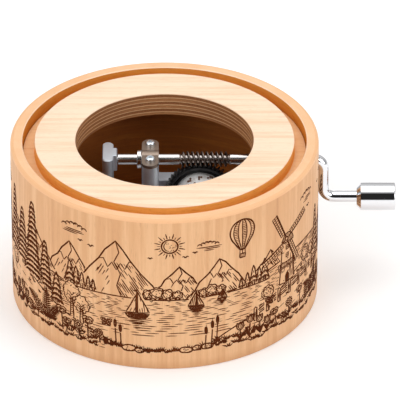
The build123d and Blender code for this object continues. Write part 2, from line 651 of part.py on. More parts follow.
with BuildPart() as handle_knob:
    with BuildSketch(Plane(origin=(0, SHAFT_Y, HANDLE_Z), x_dir=(1, 0, 0), z_dir=(0, -1, 0))):
        with BuildLine():
            Polyline(
                (KNOB_X0, ROD_R + 0.06), (KNOB_X0, KNOB_R - 1.275), (KNOB_X0 + 1.1, KNOB_R),
                (KNOB_X1, KNOB_R), (KNOB_X1, 0), (ROD_X1 + 0.3, 0),
                (ROD_X1 + 0.3, ROD_R + 0.06), (CLIP_X1 + 0.12, ROD_R + 0.06),
                (CLIP_X1 + 0.12, CLIP_R + 0.12), (CLIP_X0 - 0.12, CLIP_R + 0.12),
                (CLIP_X0 - 0.12, ROD_R + 0.06), close=True,
            )
        make_face()
    revolve(axis=Axis((0, SHAFT_Y, HANDLE_Z), (1, 0, 0)))
    fillet(handle_knob.edges().filter_by(GeomType.CIRCLE).group_by(Axis.X)[-1], 0.4)
    shoulders = handle_knob.edges().filter_by(GeomType.CIRCLE).group_by(Axis.X)
    fillet(shoulders[0].sort_by(SortBy.RADIUS)[-1], 0.15)
handle_knob.part.label = "handle_knob"
export_step(handle_knob.part, "parts/handle_knob.step")
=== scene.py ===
import math

import bpy
import numpy as np
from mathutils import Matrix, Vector


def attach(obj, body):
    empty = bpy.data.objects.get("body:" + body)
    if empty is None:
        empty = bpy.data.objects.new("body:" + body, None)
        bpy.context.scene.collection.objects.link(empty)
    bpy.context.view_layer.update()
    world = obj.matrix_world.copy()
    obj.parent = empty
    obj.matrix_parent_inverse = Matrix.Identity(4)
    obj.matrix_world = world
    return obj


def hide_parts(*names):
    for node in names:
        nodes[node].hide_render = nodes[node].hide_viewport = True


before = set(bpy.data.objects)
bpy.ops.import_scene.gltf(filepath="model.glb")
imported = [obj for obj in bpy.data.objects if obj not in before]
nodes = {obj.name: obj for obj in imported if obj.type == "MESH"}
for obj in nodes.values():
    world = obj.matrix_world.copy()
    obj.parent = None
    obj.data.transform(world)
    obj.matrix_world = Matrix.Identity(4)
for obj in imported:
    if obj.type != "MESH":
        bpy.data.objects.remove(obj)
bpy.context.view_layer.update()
scene = bpy.context.scene
scene.view_settings.view_transform = "Standard"
scene.view_settings.look = "None"
MM = 0.001

# Sizes of the wooden case, in millimetres, as in the CAD.
DRUM_R, DRUM_H = 40.0, 45.0
WALL_IN, REBATE = 34.8, 36.85
RING_T, TIER, HOLE_R, STEP_R, RING_R = 6.3, 3.5, 23.1, 33.64, 36.65
SHAFT_Y, SHAFT_Z, SHAFT_HOLE = 8.0, 34.1, 3.5


# ---------------------------------------------------------------- material nodes
class Tree:
    """A short way to write a material's node tree."""

    def __init__(self, name):
        self.mat = bpy.data.materials.new(name)
        self.mat.use_nodes = True
        self.nt = self.mat.node_tree
        self.nt.nodes.clear()
        self.out = self.nt.nodes.new("ShaderNodeOutputMaterial")
        self.bsdf = self.nt.nodes.new("ShaderNodeBsdfPrincipled")
        self.nt.links.new(self.bsdf.outputs[0], self.out.inputs["Surface"])
        self.coord = self.nt.nodes.new("ShaderNodeTexCoord").outputs["Object"]

    def put(self, kind, props=None, **inputs):
        n = self.nt.nodes.new(kind)
        for k, v in (props or {}).items():
            setattr(n, k, v)
        for k, v in inputs.items():
            key = int(k[1:]) if k[0] == "i" and k[1:].isdigit() else k.replace("_", " ")
            self.set(n.inputs[key], v)
        return n

    def set(self, socket, v):
        if isinstance(v, bpy.types.NodeSocket):
            self.nt.links.new(v, socket)
        else:
            socket.default_value = v

    def map(self, scale, rot=(0, 0, 0), loc=(0, 0, 0), src=None):
        return self.put("ShaderNodeMapping", Vector=src or self.coord, Scale=scale, Rotation=rot, Location=loc).outputs[0]

    def noise(self, vec, scale=1.0, detail=4.0, rough=0.55, dist=0.0):
        return self.put("ShaderNodeTexNoise", Vector=vec, Scale=scale, Detail=detail, Roughness=rough, Distortion=dist).outputs["Fac"]

    def ramp(self, fac, stops, ease="EASE"):
        n = self.put("ShaderNodeValToRGB", Fac=fac)
        n.color_ramp.interpolation = ease
        el = n.color_ramp.elements
        while len(el) < len(stops):
            el.new(0.5)
        for e, (p, c) in zip(el, stops):
            e.position = p
            e.color = (*c, 1.0) if len(c) == 3 else c
        return n.outputs["Color"]

    def level(self, fac, a, b, lo=0.0, hi=1.0):
        return self.put("ShaderNodeMapRange", {"clamp": True}, Value=fac, From_Min=a, From_Max=b, To_Min=lo, To_Max=hi).outputs[0]

    def math(self, op, a, b=0.0):
        n = self.put("ShaderNodeMath", {"operation": op})
        self.set(n.inputs[0], a)
        self.set(n.inputs[1], b)
        return n.outputs[0]

    def mix(self, fac, a, b, blend="MIX"):
        n = self.put("ShaderNodeMix", {"data_type": "RGBA", "blend_type": blend})
        self.set(n.inputs[0], fac)
        self.set(n.inputs[6], (*a, 1.0) if isinstance(a, tuple) and len(a) == 3 else a)
        self.set(n.inputs[7], (*b, 1.0) if isinstance(b, tuple) and len(b) == 3 else b)
        return n.outputs[2]

    def bump(self, height, strength=0.2, dist=0.0001, normal=None):
        n = self.put("ShaderNodeBump", Height=height, Strength=strength, Distance=dist)
        if normal is not None:
            self.set(n.inputs["Normal"], normal)
        return n.outputs[0]

    def surface(self, **inputs):
        for k, v in inputs.items():
            self.set(self.bsdf.inputs[k.replace("_", " ")], v)
        return self.mat


def srgb(r, g, b):
    """Linear colour of an 8-bit screen colour."""
    return tuple(c / 12.92 if c <= 0.04045 else ((c + 0.055) / 1.055) ** 2.4 for c in (r / 255, g / 255, b / 255))


def wood(name, light, mid, dark, along, across, rough=0.46, figure=1.0, pores=0.5, spin=(0, 0, 0), tint=None,
         shine=0.5):
    """Plain hardwood. along and across are the grain's scales per metre as (x, y, z) pairs."""
    t = Tree(name)
    base = t.map((1, 1, 1), rot=spin)
    wander = t.noise(t.map((18, 18, 18), src=base), detail=2.0)
    streak = t.noise(t.map(along, src=base), detail=5.0, rough=0.62, dist=0.35)
    fibre = t.noise(t.map(across, src=base), detail=3.0, rough=0.7)
    tone = t.math("ADD", t.math("MULTIPLY", streak, 0.62 * figure), t.math("MULTIPLY", wander, 0.22))
    tone = t.math("ADD", tone, t.math("MULTIPLY", fibre, 0.24))
    col = t.ramp(tone, [(0.30, dark), (0.52, mid), (0.72, light)])
    # short dark pores lying along the grain
    speck = t.noise(t.map(tuple(2.2 * c for c in across), src=base), detail=1.0)
    gap = t.level(speck, 0.66, 0.74)
    col = t.mix(t.math("MULTIPLY", gap, pores), col, tuple(0.55 * c for c in dark))
    if tint is not None:
        col = tint(t, col)
    height = t.math("SUBTRACT", t.math("MULTIPLY", fibre, 0.5), t.math("MULTIPLY", gap, 0.7))
    return t.surface(
        Base_Color=col,
        Roughness=t.level(fibre, 0.2, 0.8, rough + 0.08, rough - 0.05),
        Normal=t.bump(height, 0.35, 0.00006),
        IOR=1.45,
        Specular_IOR_Level=shine,
    )


def metal(name, col, rough, spread=0.06, grain=(900, 900, 900), bump=0.05, dark=0.8, patch=0.25):
    """Metal with a fine finish: grain sets how the brush marks or the casting's texture run."""
    t = Tree(name)
    fine = t.noise(t.map(grain), detail=4.0, rough=0.7)
    cloud = t.noise(t.map((160, 160, 160)), detail=3.0)
    shade = t.level(cloud, 0.3, 0.7, 0.0, patch)
    c = t.mix(shade, col, tuple(dark * x for x in col))
    return t.surface(
        Base_Color=c,
        Metallic=1.0,
        Roughness=t.level(fine, 0.25, 0.75, rough - spread, rough + spread),
        Normal=t.bump(fine, bump, 0.00003),
    )


# ---------------------------------------------------------------- meshes
def make_object(name, verts, faces, mats, face_mats=None, smooth=True, body="case", sharp=None):
    me = bpy.data.meshes.new(name)
    me.from_pydata([tuple(v) for v in verts], [], faces)
    for m in mats:
        me.materials.append(m)
    if face_mats is not None:
        me.polygons.foreach_set("material_index", face_mats)
    me.update()
    if smooth:
        me.shade_smooth()
        me.set_sharp_from_angle(angle=math.radians(sharp or 28))
    ob = bpy.data.objects.new(name, me)
    scene.collection.objects.link(ob)
    if body:
        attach(ob, body)
    return ob


def lathe(profile, mats_of, n=720):
    """Closed surface from a closed profile of (r, z) points in mm, turned about Z. mats_of gives each run's material."""
    p = len(profile)
    a = np.arange(n) * 2 * math.pi / n
    r = np.array([q[0] for q in profile])
    z = np.array([q[1] for q in profile])
    verts = np.stack(
        [np.outer(np.cos(a), r), np.outer(np.sin(a), r), np.tile(z, (n, 1))], axis=-1
    ).reshape(-1, 3) * MM
    faces, mat = [], []
    for i in range(n):
        j = (i + 1) % n
        for k in range(p):
            m = (k + 1) % p
            faces.append((i * p + k, j * p + k, j * p + m, i * p + m))
            mat.append(mats_of[k])
    return verts, faces, mat


def arc(cx, cz, r, a0, a1, n):
    """Points of an arc in the profile plane; angles in degrees."""
    return [
        (cx + r * math.cos(math.radians(a0 + (a1 - a0) * i / n)), cz + r * math.sin(math.radians(a0 + (a1 - a0) * i / n)))
        for i in range(n + 1)
    ]


# ---------------------------------------------------------------- wooden case
OUT_R = DRUM_R - 0.025   # the wood lies just under the burnt lines, which reach the full radius


def darker_foot(t, col):
    """The lower edge of the drum is a little darker."""
    z = t.put("ShaderNodeSeparateXYZ", Vector=t.coord).outputs[2]
    wave = t.noise(t.map((40, 40, 40)), detail=3.0)
    low = t.level(t.math("ADD", z, t.math("MULTIPLY", wave, 0.003)), 0.0015, 0.0042, 0.55, 0.0)
    return t.mix(low, col, srgb(198, 142, 95))


drum_side = wood(
    "drum_side", srgb(228, 180, 134), srgb(216, 163, 116), srgb(192, 133, 88),
    along=(520, 520, 15), across=(4200, 4200, 150), rough=0.5, figure=1.2, pores=0.34, tint=darker_foot, shine=0.4,
)
drum_rim = wood(
    "drum_rim", srgb(254, 211, 170), srgb(250, 203, 161), srgb(238, 187, 141),
    along=(160, 160, 160), across=(5200, 5200, 5200), rough=0.48, figure=0.5, pores=0.3, shine=0.4,
)
rim_bevel = wood(
    "rim_bevel", srgb(251, 208, 163), srgb(246, 198, 151), srgb(234, 181, 133),
    along=(90, 90, 60), across=(4800, 4800, 1300), rough=0.45, figure=0.35, pores=0.2,
)
# painted shade: the wall and shelf of the narrow groove that holds the ring get a darker, more orange copy of the
# drum's wood; the grain is the wood's own
groove_wood_painted_shade = wood(
    "groove_wood_painted_shade", srgb(216, 154, 78), srgb(207, 142, 66), srgb(186, 118, 44),
    along=(160, 160, 900), across=(900, 900, 5200), rough=0.8, figure=0.9, pores=0.3, shine=0.0,
)
# painted shade: the inside of the drum, its underside and the crank's hole get a darker copy of the drum's wood; the
# grain is the wood's own
inner_wood_painted_shade = wood(
    "inner_wood_painted_shade", srgb(186, 111, 40), srgb(165, 93, 30), srgb(130, 67, 17),
    along=(60, 60, 900), across=(420, 420, 5200), rough=0.66, figure=1.0, pores=0.4,
)

# painted highlight: a lighter copy of the rim wood, put on the thin chamfer at the rim's inner edge
rim_edge_painted_highlight = wood(
    "rim_edge_painted_highlight", srgb(255, 236, 210), srgb(254, 228, 198), srgb(246, 212, 176),
    along=(160, 160, 160), across=(5200, 5200, 5200), rough=0.5, figure=0.4, pores=0.15,
)

D, H = OUT_R, DRUM_H
profile, kinds = [], []


def run(points, kind):
    """Adds points to the profile; kind is the material of the runs that end at them."""
    for q in points:
        profile.append(q)
        kinds.append(kind)


run([(REBATE, 0.0)], 0)
run([(D - 0.4, 0.0)], 4)
run(arc(D - 0.4, 0.4, 0.4, -90, 0, 5)[1:], 0)
run([(D, H - 0.9)], 0)
run(arc(D - 0.9, H - 0.9, 0.9, 0, 90, 10)[1:], 2)
run([(REBATE + 0.25, H)], 1)
# this chamfer carries the painted highlight
run([(REBATE, H - 0.25)], 5)
run([(REBATE, H - RING_T)], 3)
run([(WALL_IN, H - RING_T)], 3)
run([(WALL_IN, 6.5)], 4)
run([(REBATE, 6.5)], 4)
verts, faces, fm = lathe(profile, kinds[1:] + [4])
drum = make_object("drum_shell", verts, faces, [drum_side, drum_rim, rim_bevel, groove_wood_painted_shade, inner_wood_painted_shade, rim_edge_painted_highlight], fm)

# the hole that the crank comes out of
n = 96
cv, cf = [], []
for k, (r, x) in enumerate([(SHAFT_HOLE, 28.0), (SHAFT_HOLE, 44.0)]):
    for i in range(n):
        a = 2 * math.pi * i / n
        cv.append((x * MM, (SHAFT_Y + r * math.cos(a)) * MM, (SHAFT_Z + r * math.sin(a)) * MM))
cf = [tuple(reversed(range(n))), tuple(range(n, 2 * n))]
cf += [(i, (i + 1) % n, n + (i + 1) % n, n + i) for i in range(n)]
cutter = make_object("cutter", cv, cf, [inner_wood_painted_shade], body=None)
mod = drum.modifiers.new("hole", "BOOLEAN")
mod.object = cutter
mod.operation = "DIFFERENCE"
mod.solver = "EXACT"
try:
    mod.material_mode = "TRANSFER"
except AttributeError:
    pass
deps = bpy.context.evaluated_depsgraph_get()
bored = bpy.data.meshes.new_from_object(drum.evaluated_get(deps), depsgraph=deps)
drum.modifiers.clear()
drum.data = bored
bpy.data.objects.remove(cutter)
bored.shade_smooth()
bored.set_sharp_from_angle(angle=math.radians(28))
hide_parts("drum_wall")


def plywood(name):
    """Edge of the plywood ring: plies with their grain along X and along Y in turn, and dark glue lines."""
    t = Tree(name)
    wob = t.noise(t.map((70, 70, 70)), detail=2.0)
    z = t.put("ShaderNodeSeparateXYZ", Vector=t.coord).outputs[2]
    zz = t.math("ADD", z, t.math("MULTIPLY", t.math("SUBTRACT", wob, 0.5), 0.00022))
    layer = t.math("DIVIDE", t.math("SUBTRACT", zz, (DRUM_H - RING_T) * MM), 0.00105)
    part = t.math("FRACT", layer)
    odd = t.math("FRACT", t.math("MULTIPLY", t.math("FLOOR", layer), 0.5))
    odd = t.math("MULTIPLY", odd, 2.0)
    nrm = t.put("ShaderNodeNewGeometry").outputs["Normal"]
    xyz = t.put("ShaderNodeSeparateXYZ", Vector=nrm)
    ex = t.math("ABSOLUTE", xyz.outputs[0])
    ey = t.math("ABSOLUTE", xyz.outputs[1])
    end = t.math("ADD", t.math("MULTIPLY", ex, t.math("SUBTRACT", 1.0, odd)), t.math("MULTIPLY", ey, odd))
    fibre = t.noise(t.map((900, 900, 5200)), detail=4.0, rough=0.7)
    pores = t.noise(t.map((5200, 5200, 5200)), detail=2.0, rough=0.7)
    long_col = t.ramp(fibre, [(0.3, srgb(164, 106, 62)), (0.7, srgb(186, 128, 80))])
    end_col = t.ramp(pores, [(0.35, srgb(128, 74, 36)), (0.65, srgb(162, 104, 60))])
    col = t.mix(t.level(end, 0.25, 0.85), long_col, end_col)
    pale = t.math("MULTIPLY", t.level(part, 0.62, 0.72), t.level(part, 0.90, 0.98, 1.0, 0.0))
    col = t.mix(t.math("MULTIPLY", pale, 0.8), col, t.ramp(fibre, [(0.3, srgb(206, 154, 106)), (0.7, srgb(232, 186, 138))]))
    glue = t.math("ABSOLUTE", t.math("SUBTRACT", part, 0.55))
    col = t.mix(t.level(glue, 0.02, 0.09, 0.55, 0.0), col, srgb(88, 48, 22))
    return t.surface(
        Base_Color=col, Roughness=t.level(fibre, 0.3, 0.7, 0.62, 0.5),
        Normal=t.bump(t.math("ADD", t.math("MULTIPLY", fibre, 0.4), t.math("MULTIPLY", pores, t.math("MULTIPLY", end, 0.8))), 0.4, 0.00008),
    )


ring_top = wood(
    "ring_top", srgb(250, 221, 193), srgb(243, 205, 171), srgb(222, 168, 123),
    along=(20, 560, 560), across=(220, 4600, 4600), rough=0.5, figure=1.35, pores=0.45, shine=0.3,
)
ring_ply = plywood("ring_ply")
ring_ledge = wood(
    "ring_ledge", srgb(250, 212, 166), srgb(243, 199, 149), srgb(228, 174, 122),
    along=(30, 640, 640), across=(260, 5000, 5000), rough=0.7, figure=0.9, pores=0.3, shine=0.12,
)
# painted shade: the upright wall of the ring's step, one wall of the groove round the ring, gets a darker orange wood;
# the grain is the wood's own
step_wall_painted_shade = wood(
    "step_wall_painted_shade", srgb(250, 186, 100), srgb(242, 170, 84), srgb(215, 139, 57),
    along=(220, 220, 1900), across=(1300, 1300, 5200), rough=0.66, figure=0.9, pores=0.3, shine=0.15,
)
z0, z1, zt = DRUM_H - RING_T, DRUM_H, DRUM_H - TIER
profile, kinds = [], []
run([(HOLE_R, z0)], 0)
run([(RING_R, z0)], 1)
run([(RING_R, zt)], 3)
run([(STEP_R + 0.12, zt)], 2)
run([(STEP_R, zt + 0.12)], 3)
run([(STEP_R, z1 - 0.2)], 3)
run(arc(STEP_R - 0.2, z1 - 0.2, 0.2, 0, 90, 4)[1:], 0)
run(arc(HOLE_R + 0.2, z1 - 0.2, 0.2, 90, 180, 4), 0)
verts, faces, fm = lathe(profile, kinds[1:] + [1])
ring = make_object("stepped_ring", verts, faces, [ring_top, ring_ply, ring_ledge, step_wall_painted_shade], fm)
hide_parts("top_ring")

# ------------------------------------------------------------------ burnt drawing
# Landscape drawn round the drum. Positions are millimetres on the unrolled side:
# u runs right round the drum from the middle of the front, z is the height.
rng = np.random.default_rng(11)
LINES = []


def spline(pts, n=7, closed=False):
    """Smooth curve through the points."""
    p = np.asarray(pts, float)
    if closed:
        p = np.vstack([p[-1], p, p[0], p[1]])
    else:
        p = np.vstack([2 * p[0] - p[1], p, 2 * p[-1] - p[-2]])
    out = []
    for i in range(1, len(p) - 2):
        for t in np.linspace(0, 1, n, endpoint=False):
            out.append(0.5 * (2 * p[i] + (p[i + 1] - p[i - 1]) * t
                              + (2 * p[i - 1] - 5 * p[i] + 4 * p[i + 1] - p[i + 2]) * t * t
                              + (3 * p[i] - p[i - 1] - 3 * p[i + 1] + p[i + 2]) * t ** 3))
    out.append(p[-2])
    return np.array(out)


def stroke(pts, w=0.3, t0=0.5, t1=0.5, step=0.9):
    """One burnt line, w wide, narrowing towards t0 and t1 of that at its ends."""
    p = np.asarray(pts, float)
    d = np.hypot(*np.diff(p, axis=0).T)
    s = np.concatenate([[0], np.cumsum(d)])
    if s[-1] < 0.08:
        return
    keep = np.concatenate([[True], d > 1e-4])
    p, s = p[keep], s[keep]
    if len(p) < 2:
        return
    extra = [s]
    for a, b in zip(s[:-1], s[1:]):
        k = int(math.ceil((b - a) / step))
        if k > 1:
            extra.append(np.linspace(a, b, k + 1)[1:-1])
    q = np.sort(np.concatenate(extra))
    p = np.column_stack([np.interp(q, s, p[:, 0]), np.interp(q, s, p[:, 1])])
    f = q / s[-1]
    ramp = min(0.45, 0.9 / s[-1])
    width = 1.25 * w * np.minimum(1.0, np.minimum(t0 + (1 - t0) * f / ramp, t1 + (1 - t1) * (1 - f) / ramp))
    width = width * (1 + 0.08 * np.sin(q * 2.3 + rng.uniform(0, 6)))
    keep_line(p, width)


def keep_line(p, width):
    lo, hi = p.min(0), p.max(0)
    LINES.append((p, width, float(lo[0]), float(lo[1]), float(hi[0]), float(hi[1])))


def loop(pts, w=0.3):
    p = np.asarray(pts, float)
    stroke(np.vstack([p, p[:1]]), w, 1, 1)


def inside(poly, p):
    poly = np.asarray(poly, float)
    x, y = p[:, 0], p[:, 1]
    hit = np.zeros(len(p), bool)
    for (x0, y0), (x1, y1) in zip(poly, np.roll(poly, -1, axis=0)):
        if y0 == y1:
            continue
        cross = (y0 > y) != (y1 > y)
        hit ^= cross & (x < (x1 - x0) * (y - y0) / (y1 - y0) + x0)
    return hit


def clear(poly):
    """Take what was drawn before out of an outline, so that a nearer thing covers it."""
    poly = np.asarray(poly, float)
    (u0, z0), (u1, z1) = poly.min(0).tolist(), poly.max(0).tolist()
    held = LINES[:]
    LINES.clear()
    for item in held:
        p, w = item[:2]
        if item[4] < u0 or item[5] < z0 or item[2] > u1 or item[3] > z1:
            LINES.append(item)
            continue
        out = ~inside(poly, p)
        if out.all():
            LINES.append(item)
            continue
        edges = np.flatnonzero(np.diff(np.concatenate([[0], out.astype(int), [0]])))
        for a, b in zip(edges[::2], edges[1::2]):
            if b - a >= 2:
                keep_line(p[a:b], w[a:b])


def hatch(poly, angle, gap, w=0.22, dash=0.0, curve=0.0, jitter=0.15):
    """Parallel lines inside an outline."""
    poly = np.asarray(poly, float)
    c, s = math.cos(math.radians(angle)), math.sin(math.radians(angle))
    mid = (poly.min(0) + poly.max(0)) / 2
    r = np.hypot(*(poly.max(0) - poly.min(0))) / 2 + 0.5
    v = -r
    while v < r:
        t = np.arange(-r, r, 0.22)
        bow = curve * (1 - (t / r) ** 2)
        p = np.column_stack([mid[0] + t * c - (v + bow) * s, mid[1] + t * s + (v + bow) * c])
        ok = inside(poly, p)
        if dash:
            k = 0
            while k < len(t):
                k += int(rng.uniform(0.5, 1.5) * dash / 0.22)
                cut = int(rng.uniform(0.2, 0.9) * dash / 0.22)
                ok[k:k + cut] = False
                k += cut
        edges = np.flatnonzero(np.diff(np.concatenate([[0], ok.astype(int), [0]])))
        for a, b in zip(edges[::2], edges[1::2]):
            if b - a >= 3:
                n = max(2, int((b - a) * 0.22 / 0.9) + 1)
                stroke(p[np.linspace(a, b - 1, n).round().astype(int)], w)
        v += gap * (1 + rng.uniform(-jitter, jitter))


def dark(poly):
    hatch(poly, rng.uniform(60, 120), 0.25, 0.36, jitter=0.05)


def stipple(poly, count, w=0.24, size=0.3, lean=0.0):
    """Short marks inside an outline; lean gathers them to the right and the foot."""
    poly = np.asarray(poly, float)
    lo, hi = poly.min(0), poly.max(0)
    f = rng.uniform(0, 1, (count, 2))
    if lean:
        f[:, 0] = f[:, 0] ** (1 / (1 + lean))
        f[:, 1] = f[:, 1] ** (1 + 0.6 * lean)
    p = lo + f * (hi - lo)
    for q in p[inside(poly, p)]:
        a = rng.uniform(-0.9, 0.9)
        d = np.array([math.cos(a), math.sin(a)]) * size / 2
        stroke([q - d, q + d], w, 0.8, 0.8)


def oval(u, z, a, b, n=20, tilt=0.0):
    t = np.linspace(0, 2 * math.pi, n, endpoint=False)
    x, y = a * np.cos(t), b * np.sin(t)
    c, s = math.cos(tilt), math.sin(tilt)
    return np.column_stack([u + x * c - y * s, z + x * s + y * c])


def scallops(pts, size=1.3, depth=0.35):
    """Leafy edge that follows a closed outline."""
    p = np.asarray(pts, float)
    p = np.vstack([p, p[:1]])
    s = np.concatenate([[0], np.cumsum(np.hypot(*np.diff(p, axis=0).T))])
    n = max(5, int(s[-1] / size))
    q = np.linspace(0, s[-1], n * 6 + 1)
    x, y = np.interp(q, s, p[:, 0]), np.interp(q, s, p[:, 1])
    dx, dy = np.gradient(x), np.gradient(y)
    m = np.hypot(dx, dy) + 1e-9
    bump = depth * np.abs(np.sin(q / s[-1] * n * math.pi + 0.4 * np.sin(q)))
    sign = 1 if np.sum(x[:-1] * y[1:] - x[1:] * y[:-1]) > 0 else -1
    return np.column_stack([x + sign * dy / m * bump, y - sign * dx / m * bump])[:-1]


# ---- things in the landscape
def cloud(u, z, w):
    n = int(rng.integers(4, 7))
    xs = np.linspace(-w / 2, w / 2, n + 1)
    top = []
    for i in range(n):
        r = (xs[i + 1] - xs[i]) / 2
        cx = (xs[i] + xs[i + 1]) / 2
        lift = 0.17 * w * math.sin(math.pi * (i + 0.5) / n)
        t = np.linspace(math.pi * 1.05, -0.05 * math.pi, 8)
        top.append(np.column_stack([u + cx + r * 1.12 * np.cos(t), z + lift + r * 1.0 * np.sin(t)]))
    edge = np.vstack(top)
    clear(np.vstack([edge, [[u + w / 2, z - 0.3], [u - w / 2, z - 0.3]]]))
    for part in top:
        stroke(part, 0.3)
        k = part[2:6]
        stroke(k * 0.8 + np.array([u, z + 0.1]) * 0.2, 0.2)
    for k in range(3):
        a, b = rng.uniform(-0.62, -0.1), rng.uniform(0.15, 0.66)
        stroke([[u + a * w, z - 0.35 - 0.5 * k], [u + b * w, z - 0.35 - 0.5 * k]], 0.24, 0.2, 0.2)


def sun(u, z, r):
    clear(oval(u, z, r * 1.9, r * 1.9))
    loop(oval(u, z, r, r, 28), 0.34)
    stroke(np.array([[u + r * 0.72 * math.cos(a), z + r * 0.72 * math.sin(a)] for a in np.linspace(2.2, 4.6, 10)]), 0.22)
    stipple(oval(u, z, r * 0.85, r * 0.85), 26, 0.2, 0.22, 0.6)
    for k in range(24):
        a = 2 * math.pi * k / 24
        far = 1.95 if k % 2 else 1.55
        stroke([[u + 1.2 * r * math.cos(a), z + 1.2 * r * math.sin(a)],
                [u + far * r * math.cos(a), z + far * r * math.sin(a)]], 0.26, 0.9, 0.3)


def bird(u, z, s):
    stroke(spline([[u - s, z + 0.35 * s], [u - 0.45 * s, z + 0.5 * s], [u, z]], 4), 0.3, 0.2, 1)
    stroke(spline([[u, z], [u + 0.5 * s, z + 0.55 * s], [u + 1.05 * s, z + 0.3 * s]], 4), 0.3, 1, 0.2)


def mountain(u, foot, h, w):
    left = [[u - w, foot]]
    for f in (0.25, 0.45, 0.62, 0.8):
        left.append([u - w * (1 - f) + rng.uniform(-0.5, 0.5), foot + h * f + rng.uniform(-0.5, 0.5)])
    right = [[u + w * (1 - f) + rng.uniform(-0.5, 0.5), foot + h * f + rng.uniform(-0.5, 0.5)]
             for f in (0.84, 0.66, 0.46, 0.24)]
    ridge = np.array(left + [[u, foot + h]] + right + [[u + w, foot]])
    clear(ridge)
    stroke(ridge, 0.34, 0.4, 0.4)
    cap = [[u - w * 0.36, foot + h * 0.64]]
    for k in range(1, 8):
        f = k / 8
        cap.append([u - w * 0.36 + f * w * 0.74, foot + h * (0.64 - 0.09 * math.sin(math.pi * f)
                    + (0.055 if k % 2 else -0.065))])
    cap.append([u + w * 0.38, foot + h * 0.62])
    stroke(cap, 0.24)
    spine = np.array([[u, foot + h], [u + 0.07 * w, foot + 0.8 * h], [u - 0.04 * w, foot + 0.62 * h],
                      [u + 0.1 * w, foot + 0.42 * h], [u + 0.02 * w, foot + 0.2 * h], [u + 0.12 * w, foot]])
    stroke(spine, 0.24, 1, 0.2)
    shade = np.vstack([spine[2:], [[u + w * 0.95, foot]], [[u + w * 0.5, foot + h * 0.46]], [[u + w * 0.36, foot + h * 0.6]]])
    hatch(shade, -58, 0.5, 0.23, dash=4.0)
    for k in range(int(w * 1.4)):
        a = rng.uniform(-0.8, -0.1)
        y = foot + h * (1 + a) * rng.uniform(0.15, 0.8)
        stroke([[u + a * w, y], [u + a * w - 0.8, y - 1.6]], 0.2, 1, 0.2)


def conifer(u, z, h, w, heavy=0.5):
    n = max(4, int(h / 1.5))
    right, left = [], []
    for k in range(n):
        y = z + h * (1 - (k + 1) / n) + 0.13 * h * 0.4
        half = w * (0.16 + 0.84 * (k + 1) / n) * rng.uniform(0.9, 1.1)
        for side, store in ((1, right), (-1, left)):
            store.append([u + side * half, y - 0.32 * h / n])
            store.append([u + side * half * 0.52, y + 0.12])
    outline = np.array([[u, z + h]] + right[:-1] + [[u, z + 0.35]] + left[:-1][::-1])
    clear(outline)
    for store in (right, left):
        pts = np.array([[u, z + h]] + store[:-1])
        stroke(pts, 0.3, 0.8, 0.8)
    foot = z - 0.9
    stroke([[u - 0.28, z + 0.4], [u - 0.3, foot]], 0.3)
    stroke([[u + 0.28, z + 0.4], [u + 0.3, foot]], 0.36)
    for k in range(n):
        y = z + h * (1 - (k + 1) / n) + 0.13 * h * 0.4
        half = w * (0.16 + 0.84 * (k + 1) / n)
        m = max(2, int(half * 2 * heavy / 0.42))
        for f in np.linspace(-0.85, 0.85, m):
            top = y + 0.2 * h / n + (1 - abs(f)) * 0.35 * h / n
            thick = 0.3 + 0.16 * max(0, f) * heavy
            stroke([[u + f * half * 0.72, top], [u + f * half * 0.98, top - rng.uniform(0.5, 0.85) * h / n]],
                   thick, 0.9, 0.25)


def round_tree(u, z, r, trunk=2.4, poplar=1.0):
    base = spline(oval(u, z + trunk + r * poplar * 0.92, r, r * poplar, 8)
                  + rng.uniform(-0.12, 0.12, (8, 2)) * r, 5, True)
    edge = scallops(base, 1.15, 0.32)
    clear(edge)
    loop(edge, 0.28)
    inner = (base - [u, z + trunk + r * poplar]) * 0.62 + [u - 0.1 * r, z + trunk + r * poplar]
    stroke(scallops(inner, 1.2, 0.3)[: int(len(inner) * 0.75)], 0.2)
    stipple(base, int(16 * r * r * poplar), 0.23, 0.28, 0.8)
    stroke(spline([[u - 0.35, z + trunk + 0.3], [u - 0.3, z + 0.6], [u - 0.7, z - 0.1]], 4), 0.3)
    stroke(spline([[u + 0.35, z + trunk + 0.3], [u + 0.32, z + 0.6], [u + 0.8, z - 0.1]], 4), 0.36)


def birch(u, z, h):
    crown = scallops(spline(oval(u, z + h * 0.72, h * 0.24, h * 0.3, 9) + rng.uniform(-0.4, 0.4, (9, 2)), 5, True), 1.3, 0.4)
    clear(crown)
    loop(crown, 0.26)
    stipple(crown, int(5 * h), 0.26, 0.34, 0.7)
    bark = spline([[u - 0.55, z], [u - 0.42, z + 0.3 * h], [u - 0.3, z + 0.62 * h]], 6)
    other = spline([[u + 0.25, z + 0.62 * h], [u + 0.42, z + 0.3 * h], [u + 0.6, z]], 6)
    clear(np.vstack([bark, other]))
    stroke(bark, 0.28)
    stroke(other, 0.36)
    for k in range(int(h * 0.9)):
        y = z + 0.3 + k * 0.66
        a = u + rng.uniform(-0.35, 0.05)
        stroke([[a, y], [a + rng.uniform(0.25, 0.5), y + 0.08]], 0.3, 1, 0.4)
    for side in (-1, 1):
        for k in range(3):
            y = z + h * (0.45 + 0.1 * k)
            stroke(spline([[u, y], [u + side * 0.7, y + 0.9], [u + side * 1.5, y + 1.3]], 4), 0.24, 1, 0.2)


